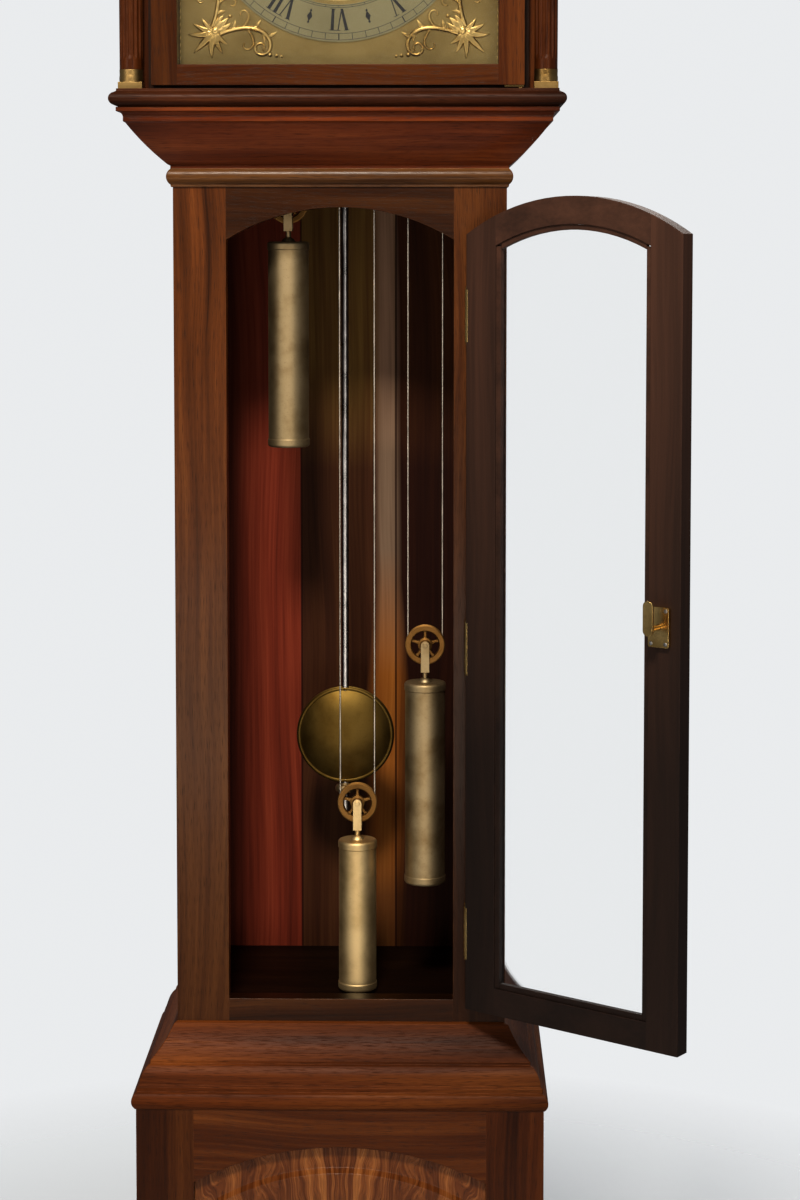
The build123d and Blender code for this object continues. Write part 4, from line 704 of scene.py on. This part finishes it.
def track(r, w, c=(0.0, DIAL_C), y=RING_Y, seg=180):
    lathe(bm, [(r - w / 2, -0.0002), (r + w / 2, -0.0002), (r + w / 2, LIFT), (r - w / 2, LIFT)], (c[0], y, c[1]), FX, FZ, FN, seg, True)


def tick(ang, r0, r1, w, c=(0.0, DIAL_C), y=RING_Y, lift=0.00020):
    sa, ca = math.sin(ang), math.cos(ang)
    poly = [(c[0] + r * sa + d * ca, c[1] + r * ca - d * sa) for r, d in ((r0, -w / 2), (r0, w / 2), (r1, w / 2), (r1, -w / 2))]
    slab(bm, poly, (0, y, 0), FX, FZ, FN, -0.0002, lift)


for r in (0.1112, 0.1134, 0.1424, 0.1496):
    track(r, 0.0005)
for i in range(60):
    a = i * math.pi / 30
    tick(a, 0.1425, 0.1495, 0.0012 if i % 5 == 0 else 0.0006)
for i in range(48):
    tick(i * math.pi / 24, 0.1113, 0.1133, 0.0006)
for i in range(12):
    a = (i + 0.5) * math.pi / 6
    for r, w, h in ((0.127, 0.0030, 0.0062), (0.1205, 0.0014, 0.0020), (0.1335, 0.0014, 0.0020)):
        x, z = polar(r, a)
        er, et = Vector((math.sin(a), 0, math.cos(a))), Vector((math.cos(a), 0, -math.sin(a)))
        slab(bm, [(0, -h), (w, 0), (0, h), (-w, 0)], (x, RING_Y, z), et, er, FN, -0.0002, LIFT)
# seconds ring
for r in (0.0220, 0.0272, 0.0304):
    track(r, 0.00035, (0.0, SEC_Z), -0.1352, 96)
for i in range(60):
    tick(i * math.pi / 30, 0.0272, 0.0304, 0.0006 if i % 5 == 0 else 0.00035, (0.0, SEC_Z), -0.1352)
from_bm("minute_track", bm, M["wax"], "case")


def digits(text, size, x, z, y, ang, name, mat, body):
    cu = bpy.data.curves.new(name, "FONT")
    cu.body = text
    cu.size = size
    cu.align_x, cu.align_y = "CENTER", "CENTER"
    cu.extrude = 0.00012
    tmp = bpy.data.objects.new(name + "_tmp", cu)
    scene.collection.objects.link(tmp)
    dg = bpy.context.evaluated_depsgraph_get()
    me = bpy.data.meshes.new_from_object(tmp.evaluated_get(dg))
    bpy.data.objects.remove(tmp)
    bpy.data.curves.remove(cu)
    rot = Matrix(((1, 0, 0), (0, 0, -1), (0, 1, 0))).to_4x4()
    me.transform(Matrix.Translation((x, y, z)) @ Matrix.Rotation(ang, 4, "Y") @ rot)
    return me


parts = []
for i in range(6):
    a = i * math.pi / 3
    r = 0.0246
    parts.append(digits(str(60 if i == 0 else 10 * i), 0.0042, r * math.sin(a), SEC_Z + r * math.cos(a), -0.1352, a, "sec%d" % i, M["wax"], "case"))
bm = bmesh.new()
for me in parts:
    bm.from_mesh(me)
    bpy.data.meshes.remove(me)
bmesh.ops.remove_doubles(bm, verts=bm.verts[:], dist=1e-7)
from_bm("seconds_digits", bm, M["wax"], "case", recalc=False)

# ---- collets round the winding holes and the hand arbor
bm = bmesh.new()
for cx, cz, ri in ((-0.080, BARREL_Z, 0.0070), (0.0, BARREL_Z, 0.0070), (0.080, BARREL_Z, 0.0070), (0.0, DIAL_C, 0.0064)):
    ro = ri + 0.0042
    prof = [(ri, -0.0002), (ro, -0.0002), (ro, 0.0004), (ro - 0.0007, 0.0009), (ro - 0.0014, 0.0005), (ro - 0.0024, 0.0005), (ro - 0.0031, 0.0011), (ri, 0.0006)]
    lathe(bm, prof, (cx, DIAL_F, cz), FX, FZ, FN, 48, True)
# engraved ring pattern of the dial centre
for r in (0.1052, 0.1030, 0.0640, 0.0622):
    lathe(bm, [(r - 0.0004, -0.0002), (r + 0.0004, -0.0002), (r + 0.0003, 0.0003), (r - 0.0003, 0.0003)], (0, DIAL_F, DIAL_C), FX, FZ, FN, 120, True)
from_bm("dial_collets", bm, M["gilt"], "case", smooth=False)

# ---- chased scrolls in the dial centre, thin relief
bm = bmesh.new()
same = lambda x, z: (x, z)
for i in range(12):
    a = (i + 0.5) * math.pi / 6
    for sgn in (-1, 1):
        def turn(u, v, a=a, sgn=sgn):
            return polar(0.0, 0)[0] + (u * math.sin(a) + sgn * v * math.cos(a)), DIAL_C + (u * math.cos(a) - sgn * v * math.sin(a))
        pts = clothoid(0.068, 0.001, 0.15, 0.046, 8.0, 260.0, 2.0, 22)
        keep = [turn(*p) for p in pts]
        if all(math.hypot(px - cx, pz - cz) > 0.0125 for px, pz in keep for cx, cz in ((-0.080, BARREL_Z), (0.0, BARREL_Z), (0.080, BARREL_Z))) and all(
                math.hypot(px, pz - SEC_Z) > 0.033 for px, pz in keep):
            relief(bm, keep, taper(len(keep), 0.0006, 0.0011, 0.0005), taper(len(keep), 0.0003, 0.0005, 0.0003), DIAL_F)
from_bm("dial_centre_scrolls", bm, M["gilt"], "case", smooth=True)

# ---- cast corner ornaments, mirrored about each diagonal
bm = bmesh.new()
EDGE = 0.1765
for sx in (-1, 1):
    for sz in (-1, 1):
        for flip in (False, True):
            def warp(p, q, sx=sx, sz=sz, flip=flip):
                if flip:
                    p, q = q, p
                return sx * (EDGE - p), DIAL_C + sz * (EDGE - q)
            d = math.pi / 4
            # palmette towards the corner and the drop towards the ring
            for da, ln, hw in ((0.42, 0.030, 0.0042), (0.88, 0.026, 0.0038), (1.34, 0.021, 0.0034)):
                leaf(bm, 0.036, 0.036, d + math.pi - da, ln, hw, 0.0026, -0.5, DIAL_F, warp)
            leaf(bm, 0.039, 0.037, d - 0.62, 0.019, 0.0036, 0.0022, 0.7, DIAL_F, warp)
            # the long arm with its volute, a counter scroll and leaves along it
            arm = scroll(bm, 0.041, 0.033, 0.42, 0.118, -9.0, -235.0, 0.0030, 0.0028, DIAL_F, warp, 2.4)
            scroll(bm, arm[10][0], arm[10][1], 0.75, 0.034, 10.0, 330.0, 0.0019, 0.0020, DIAL_F, warp, 1.6, 26)
            scroll(bm, arm[12][0], arm[12][1], -0.85, 0.040, -12.0, -300.0, 0.0019, 0.0020, DIAL_F, warp, 1.8, 26)
            for k, ha, ln in ((6, 0.95, 0.012), (15, 0.55, 0.013), (19, -1.05, 0.012), (22, 0.15, 0.012)):
                leaf(bm, arm[k][0], arm[k][1], ha, ln, 0.0024, 0.0019, 0.6 if ha > 0 else -0.6, DIAL_F, warp)
            for k, (p, q, r) in enumerate(((0.0985, 0.0105, 0.0026), (0.1060, 0.0095, 0.0021), (0.1120, 0.0088, 0.0016))):
                bead(bm, p, q, r, DIAL_F, warp)
        mid = lambda p, q, sx=sx, sz=sz: (sx * (EDGE - p), DIAL_C + sz * (EDGE - q))
        leaf(bm, 0.036, 0.036, math.pi / 4 + math.pi, 0.033, 0.0046, 0.0029, 0.0, DIAL_F, mid)
        leaf(bm, 0.038, 0.038, math.pi / 4, 0.020, 0.0048, 0.0026, 0.0, DIAL_F, mid)
        bead(bm, 0.037, 0.037, 0.0052, DIAL_F, mid, 0.0031)
        bead(bm, 0.0540, 0.0540, 0.0022, DIAL_F, mid)
# arch scrolls either side of the boss
ARCH_Z = 2.016
for sx in (-1, 1):
    def warp(p, q, sx=sx):
        return sx * p, q
    arm = scroll(bm, 0.060, 1.9915, 0.30, 0.118, 6.0, 215.0, 0.0032, 0.0028, DIAL_F, warp, 2.2)
    scroll(bm, 0.0585, 1.9960, 1.15, 0.052, -6.0, -250.0, 0.0026, 0.0025, DIAL_F, warp, 2.0, 30)
    scroll(bm, arm[9][0], arm[9][1], -0.45, 0.036, -10.0, -320.0, 0.0019, 0.0020, DIAL_F, warp, 1.6, 26)
    for k, ha, ln in ((4, 1.15, 0.016), (8, 1.0, 0.015), (12, 0.1, 0.013), (15, 0.9, 0.012)):
        leaf(bm, arm[k][0], arm[k][1], ha, ln, 0.0027, 0.0020, -0.5, DIAL_F, warp)
    for p, q, r in ((0.1230, 1.9895, 0.0026), (0.1295, 1.9880, 0.0020)):
        bead(bm, p, q, r, DIAL_F, warp)
orn = from_bm("dial_spandrels", bm, M["gilt"], "case", smooth=True)
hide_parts("dial_ornaments")

# ---- arch boss: turned rim, two rows of petals, button
bm = bmesh.new()
lathe(bm, [(0.0, 0.0008), (0.041, 0.0008), (0.0425, 0.0012), (0.0440, 0.0022), (0.0460, 0.0026), (0.0480, 0.0022), (0.0490, 0.0013), (0.0505, 0.0016), (0.0520, 0.0010), (0.0520, -0.0002), (0.0, -0.0002)],
      (0, DIAL_F, ARCH_Z), FX, FZ, FN, 96)
for n, r0, ln, hw, hh, off in ((16, 0.017, 0.0225, 0.0040, 0.0016, 0.0), (12, 0.0075, 0.0135, 0.0030, 0.0022, 0.13)):
    for i in range(n):
        a = 2 * math.pi * i / n + off
        leaf(bm, r0 * math.cos(a), ARCH_Z + r0 * math.sin(a), a, ln, hw, hh, 0.0, DIAL_F - 0.0008, same)
bead(bm, 0.0, ARCH_Z, 0.0078, DIAL_F - 0.0008, same, 0.0026)
from_bm("arch_boss", bm, M["gilt"], "case", smooth=True)

# ---- border of small leaves along the edge of the dial plate
bm = bmesh.new()
n_edge = 46
for side in range(4):
    for i in range(n_edge):
        t = -0.1745 + 0.349 * (i + 0.5) / n_edge
        off = 0.1795
        if side == 0:
            x, z, hd = t, DIAL_C - off, 0.35
        elif side == 1:
            x, z, hd = -off, DIAL_C + t, math.pi / 2 - 0.35
        elif side == 2:
            x, z, hd = off, DIAL_C + t, math.pi / 2 + 0.35
        else:
            x, z, hd = t, DIAL_C + off, -0.35
            if abs(t) < 0.142:
                continue
        leaf(bm, x - 0.0026 * math.cos(hd), z - 0.0026 * math.sin(hd), hd, 0.0062, 0.0011, 0.00045, 0.0, DIAL_F, same)
from_bm("dial_leaf_border", bm, M["gilt"], "case", smooth=True)

# ---- fluted hood columns
COL = (0.2324, -0.152, 0.013)
bm = bmesh.new()
for sgn in (-1, 1):
    zs = [1.616, 1.6175, 1.624, 1.6275, 1.632, 1.640] + [1.64 + 0.32 * i / 14 for i in range(1, 15)] + [1.966, 1.971, 1.9755, 1.9825, 1.984]
    flutes, seg = 14, 14 * 8
    rings = []
    for z in zs:
        t = (z - 1.616) / 0.368
        rad = COL[2] - 0.0001 + 0.0006 * math.sin(math.pi * min(1.0, t * 1.1)) - 0.0012 * t
        fade = max(0.0, min(1.0, (z - 1.6275) / 0.010, (1.9755 - z) / 0.010))
        fade = math.sqrt(fade) if fade > 0 else 0.0
        ring = []
        for i in range(seg):
            u = (i / seg * flutes) % 1.0
            dd = 0.0
            if 0.13 < u < 0.87:
                dd = 0.0015 * math.sqrt(max(0.0, 1.0 - ((u - 0.5) / 0.37) ** 2))
            a = 2 * math.pi * i / seg
            r = rad - dd * fade
            ring.append(bm.verts.new((sgn * COL[0] + r * math.cos(a), COL[1] + r * math.sin(a), z)))
        rings.append(ring)
    for a, b in zip(rings, rings[1:]):
        bridge(bm, a, b)
    bm.faces.new(rings[0][::-1])
    bm.faces.new(rings[-1])
col = from_bm("fluted_columns", bm, M["case_z"], "hood")
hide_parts("hood_columns")

# ---- carved roses on the ends of the swan necks
bm = bmesh.new()
for sgn in (-1, 1):
    cx, cz, by = sgn * 0.058, 2.192, -0.204
    for n, r0, ln, hw, hh, off in ((10, 0.0085, 0.0098, 0.0034, 0.0030, 0.0), (8, 0.0035, 0.0080, 0.0028, 0.0046, 0.2)):
        for i in range(n):
            a = 2 * math.pi * i / n + off
            leaf(bm, cx + r0 * math.cos(a), cz + r0 * math.sin(a), a, ln, hw, hh, 0.0, by, same)
roses = from_bm("carved_roses", bm, M["case_x"], "hood", smooth=True)

# ---- crossed-out pulleys that stand for the plain discs
PL = {}
for key, (bx, zb, ln, wr) in WEIGHTS.items():
    xw = bx + DRUM_PITCH - PULLEY_PITCH
    za = zb + ln + 0.044
    PL[key] = (xw, za)
    bm = bmesh.new()
    o = (xw, WEIGHT_Y, za)
    rim = [(0.0162, -0.0026), (0.0172, -0.0036), (0.0222, -0.0040), (0.0234, -0.0036), (0.0234, -0.0030), (0.0208, -0.0020), (0.0195, -0.0015), (0.0187, -0.0006), (0.0187, 0.0006), (0.0195, 0.0015),
           (0.0208, 0.0020), (0.0234, 0.0030), (0.0234, 0.0036), (0.0222, 0.0040), (0.0172, 0.0036), (0.0162, 0.0026)]
    lathe(bm, rim, o, FX, FZ, FN, 72, True)
    lathe(bm, [(0.00255, -0.0064), (0.0052, -0.0064), (0.0058, -0.0058), (0.0060, -0.0042), (0.0084, -0.0034), (0.0084, 0.0034), (0.0060, 0.0042), (0.0058, 0.0058), (0.0052, 0.0064), (0.00255, 0.0064)],
          o, FX, FZ, FN, 40, True)
    for i in range(5):
        a = math.pi / 2 + 2 * math.pi * i / 5
        er, et = FX * math.cos(a) + FZ * math.sin(a), FZ * math.cos(a) - FX * math.sin(a)
        secs = []
        for r, w, h in ((0.0080, 0.0030, 0.0026), (0.0105, 0.0020, 0.0022), (0.0140, 0.0018, 0.0020), (0.0168, 0.0030, 0.0024)):
            loop = [(-w, -h * 0.6), (-w * 0.6, -h), (w * 0.6, -h), (w, -h * 0.6), (w, h * 0.6), (w * 0.6, h), (-w * 0.6, h), (-w, h * 0.6)]
            secs.append([bm.verts.new(Vector(o) + er * r + et * s + FN * t) for s, t in loop])
        for p, q in zip(secs, secs[1:]):
            bridge(bm, p, q)
        bm.faces.new(secs[0][::-1])
        bm.faces.new(secs[-1])
    pu = from_bm(key + "_sheave", bm, M["brass_dull"], key + "_pulley")
    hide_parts(key + "_pulley")

    # ---- laid line: three strands, from the drum down round the pulley and up
    xm, xf = xw + PULLEY_PITCH, xw - PULLEY_PITCH
    path = []
    z = BARREL_Z
    stepz = 0.0022
    n_down = int((BARREL_Z - za) / stepz)
    path += [(xm, BARREL_Z + (za - BARREL_Z) * i / n_down) for i in range(n_down)]
    path += [(xw + PULLEY_PITCH * math.cos(math.pi * i / 26), za - PULLEY_PITCH * math.sin(math.pi * i / 26)) for i in range(27)]
    n_up = int((SEAT_Z - za) / stepz)
    path += [(xf, za + (SEAT_Z - za) * i / n_up) for i in range(1, n_up + 1)]
    bm = bmesh.new()
    rings, run = [], 0.0
    for i, (x, zz) in enumerate(path):
        x0, z0 = path[max(i - 1, 0)]
        x1, z1 = path[min(i + 1, len(path) - 1)]
        d = Vector((x1 - x0, 0, z1 - z0)).normalized()
        n1 = Vector((d.z, 0, -d.x))
        n2 = Vector((0, 1, 0))
        if i:
            run += math.hypot(x - x0, zz - z0)
        tw = run * 2 * math.pi / 0.0135
        ring = []
        for k in range(9):
            th = 2 * math.pi * k / 9
            r = 0.00125 * (0.86 + 0.14 * math.cos(3 * th))
            ring.append(bm.verts.new(Vector((x, WEIGHT_Y, zz)) + n1 * (r * math.cos(th + tw)) + n2 * (r * math.sin(th + tw))))
        rings.append(ring)
    for p, q in zip(rings, rings[1:]):
        bridge(bm, p, q)
    bm.faces.new(rings[0][::-1])
    bm.faces.new(rings[-1])
    ln_ob = from_bm(key + "_gut_line", bm, M["line"], None, smooth=True)
    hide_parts(key + "_line")
    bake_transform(ln_ob)

# ---- slotted screws in the case leaves of the trunk door hinges and in the lock
def screw(bm, at, e1, e2, axis, r=0.0031, h=0.0009, turn=0.4):
    """Domed head cut by a slot: two half domes on a thin base."""
    o = Vector(at)
    lathe(bm, [(0.0, -0.0002), (r, -0.0002), (r, h * 0.35), (0.0, h * 0.35)], o, e1, e2, axis, 28)
    c, s = math.cos(turn), math.sin(turn)
    a1, a2 = e1 * c + e2 * s, e2 * c - e1 * s
    gap = r * 0.16
    for sg in (-1, 1):
        rows = []
        for lvl, k in ((0.3, 1.0), (0.62, 0.96), (0.9, 0.78), (1.0, 0.45)):
            rr = r * k
            if rr <= gap:
                continue
            a0 = math.asin(gap / rr)
            arc = [a0 + (math.pi - 2 * a0) * i / 12 for i in range(13)]
            rows.append([bm.verts.new(o + a1 * (rr * math.cos(t)) + a2 * (sg * rr * math.sin(t)) + axis * (h * lvl)) for t in arc])
        for p, q in zip(rows, rows[1:]):
            bridge(bm, p, q)
        bm.faces.new(rows[0][::-1])
        bm.faces.new(rows[-1])


bm = bmesh.new()
for z0, z1 in ((0.600, 0.660), (0.930, 0.990), (1.310, 1.370)):
    for k, (dx, dz) in enumerate(((0.160, 0.009), (0.166, 0.030), (0.160, 0.051))):
        screw(bm, (dx, TF - 0.0022, z0 + dz), FX, FZ, FN, turn=0.5 + 1.1 * k + z0)
from_bm("case_hinge_screws", bm, M["brass"], "case")
bm = bmesh.new()
LOCK_U, LOCK_Z = 0.262, 1.010
for k, (du, dz) in enumerate(((-0.009, 0.018), (0.009, 0.018), (-0.009, -0.018), (0.009, -0.018))):
    at = Vector((HINGE[0], HINGE[1], LOCK_Z + dz)) + DU * (LOCK_U + du) + DN * 0.015
    screw(bm, at, DU, FZ, DN, r=0.0022, h=0.0007, turn=0.3 + 0.9 * k)
from_bm("lock_screws", bm, M["steel"], "trunk_door")

# ---- bob: turned rim bead on its front
bm = bmesh.new()
BO = (0.0, 0.024, 0.828)
rimp = [(0.0560 + 0.0022 * math.cos(a), 0.0034 + 0.0018 * math.sin(a)) for a in (2 * math.pi * i / 12 for i in range(12))]
lathe(bm, rimp, BO, FX, FZ, FN, 120, True)
from_bm("bob_rim", bm, M["brass_bob_shaded"], "pendulum", smooth=True)


# ------------------------------------------------------- stage, light, camera
floor_mesh = bpy.data.meshes.new("stage_floor")
seg = 96
ring_r = 2.0
floor_mesh.from_pydata([(ring_r * math.cos(2 * math.pi * i / seg), ring_r * math.sin(2 * math.pi * i / seg), -0.0004) for i in range(seg)], [], [list(range(seg))])
floor = bpy.data.objects.new("stage_floor", floor_mesh)
scene.collection.objects.link(floor)
gf = Graph("pale_floor")
fp = gf.coord()
fn = gf.noise(fp, scale=2.2, detail=5.0)
floor_mat = gf.set(color=gf.ramp(fn, [(0.3, (0.75, 0.80, 0.86)), (0.7, (0.80, 0.85, 0.90))]), rough=gf.m("ADD", 0.55, gf.m("MULTIPLY", fn, 0.2)))
fade = gf.remap(gf.v("LENGTH", fp), 0.50, 1.25, 0.0, 1.0)
clear = gf.n.new("ShaderNodeBsdfTransparent")
both = gf.n.new("ShaderNodeMixShader")
gf.put(both, 0, fade)
gf.t.links.new(gf.bsdf.outputs[0], both.inputs[1])
gf.t.links.new(clear.outputs[0], both.inputs[2])
gf.t.links.new(both.outputs[0], gf.n["Material Output"].inputs["Surface"])
floor_mesh.materials.append(floor_mat)

world = bpy.data.worlds.new("studio")
scene.world = world
world.use_nodes = True
wt = world.node_tree
bg = wt.nodes["Background"]
lp = wt.nodes.new("ShaderNodeLightPath")
mr = wt.nodes.new("ShaderNodeMapRange")
mr.inputs[3].default_value = 0.16
mr.inputs[4].default_value = 0.84
seen = wt.nodes.new("ShaderNodeMath")
seen.operation = "MAXIMUM"
wt.links.new(lp.outputs["Is Camera Ray"], seen.inputs[0])
wt.links.new(lp.outputs["Is Transmission Ray"], seen.inputs[1])
wt.links.new(seen.outputs[0], mr.inputs[0])
wt.links.new(mr.outputs[0], bg.inputs["Strength"])
bg.inputs["Color"].default_value = (0.97, 0.985, 1.0, 1.0)


def area(name, loc, target, sx, sy, watts, col=(1.0, 0.97, 0.93)):
    d = bpy.data.lights.new(name, "AREA")
    d.shape = "RECTANGLE"
    d.size, d.size_y = sx, sy
    d.energy = watts
    d.color = col
    o = bpy.data.objects.new(name, d)
    scene.collection.objects.link(o)
    o.location = loc
    o.rotation_mode = "QUATERNION"
    o.rotation_quaternion = (Vector(target) - Vector(loc)).to_track_quat("-Z", "Y")
    return o


WARM = (1.0, 0.92, 0.80)
area("key", (-0.24, -2.75, 3.9), (0.0, 0.0, 1.05), 0.6, 0.6, 132.0, WARM)
area("fill_left", (-2.2, -2.8, 1.5), (0.0, 0.0, 1.1), 1.1, 2.6, 17.0, WARM)
area("fill_right", (1.25, -3.3, 1.25), (0.0, 0.0, 1.1), 0.40, 2.2, 10.0, WARM)
area("fill_low", (-0.2, -3.2, 0.35), (0.0, 0.0, 1.3), 2.0, 0.6, 16.0, (1.0, 0.88, 0.74))
area("rim", (0.8, 2.6, 3.2), (0.0, 0.0, 1.4), 1.8, 1.4, 50.0)

FOCAL_PX = 2456.0
CAM = Vector((0.117, -2.920, 1.424))
PRINCIPAL = (442.5, 241.5)
SHIFT_Y = -0.165
cam_data = bpy.data.cameras.new("camera")
cam_data.sensor_fit = "AUTO"
cam_data.sensor_width = 36.0
cam_data.lens = FOCAL_PX / 1200.0 * 36.0
cam_data.shift_y = SHIFT_Y
cam_data.clip_start, cam_data.clip_end = 0.05, 60.0
cam = bpy.data.objects.new("camera", cam_data)
scene.collection.objects.link(cam)
cam.location = CAM
pitch = math.atan(((600.0 - PRINCIPAL[1]) + SHIFT_Y * 1200.0) / FOCAL_PX)
yaw = math.atan((PRINCIPAL[0] - 400.0) / FOCAL_PX)
cam.rotation_mode = "XYZ"
cam.rotation_euler = (math.pi / 2 - pitch, 0.0, yaw)
scene.camera = cam
scene.view_settings.view_transform = "Standard"
scene.view_settings.look = "None"
scene.view_settings.exposure = 0.05
scene.view_settings.gamma = 0.86
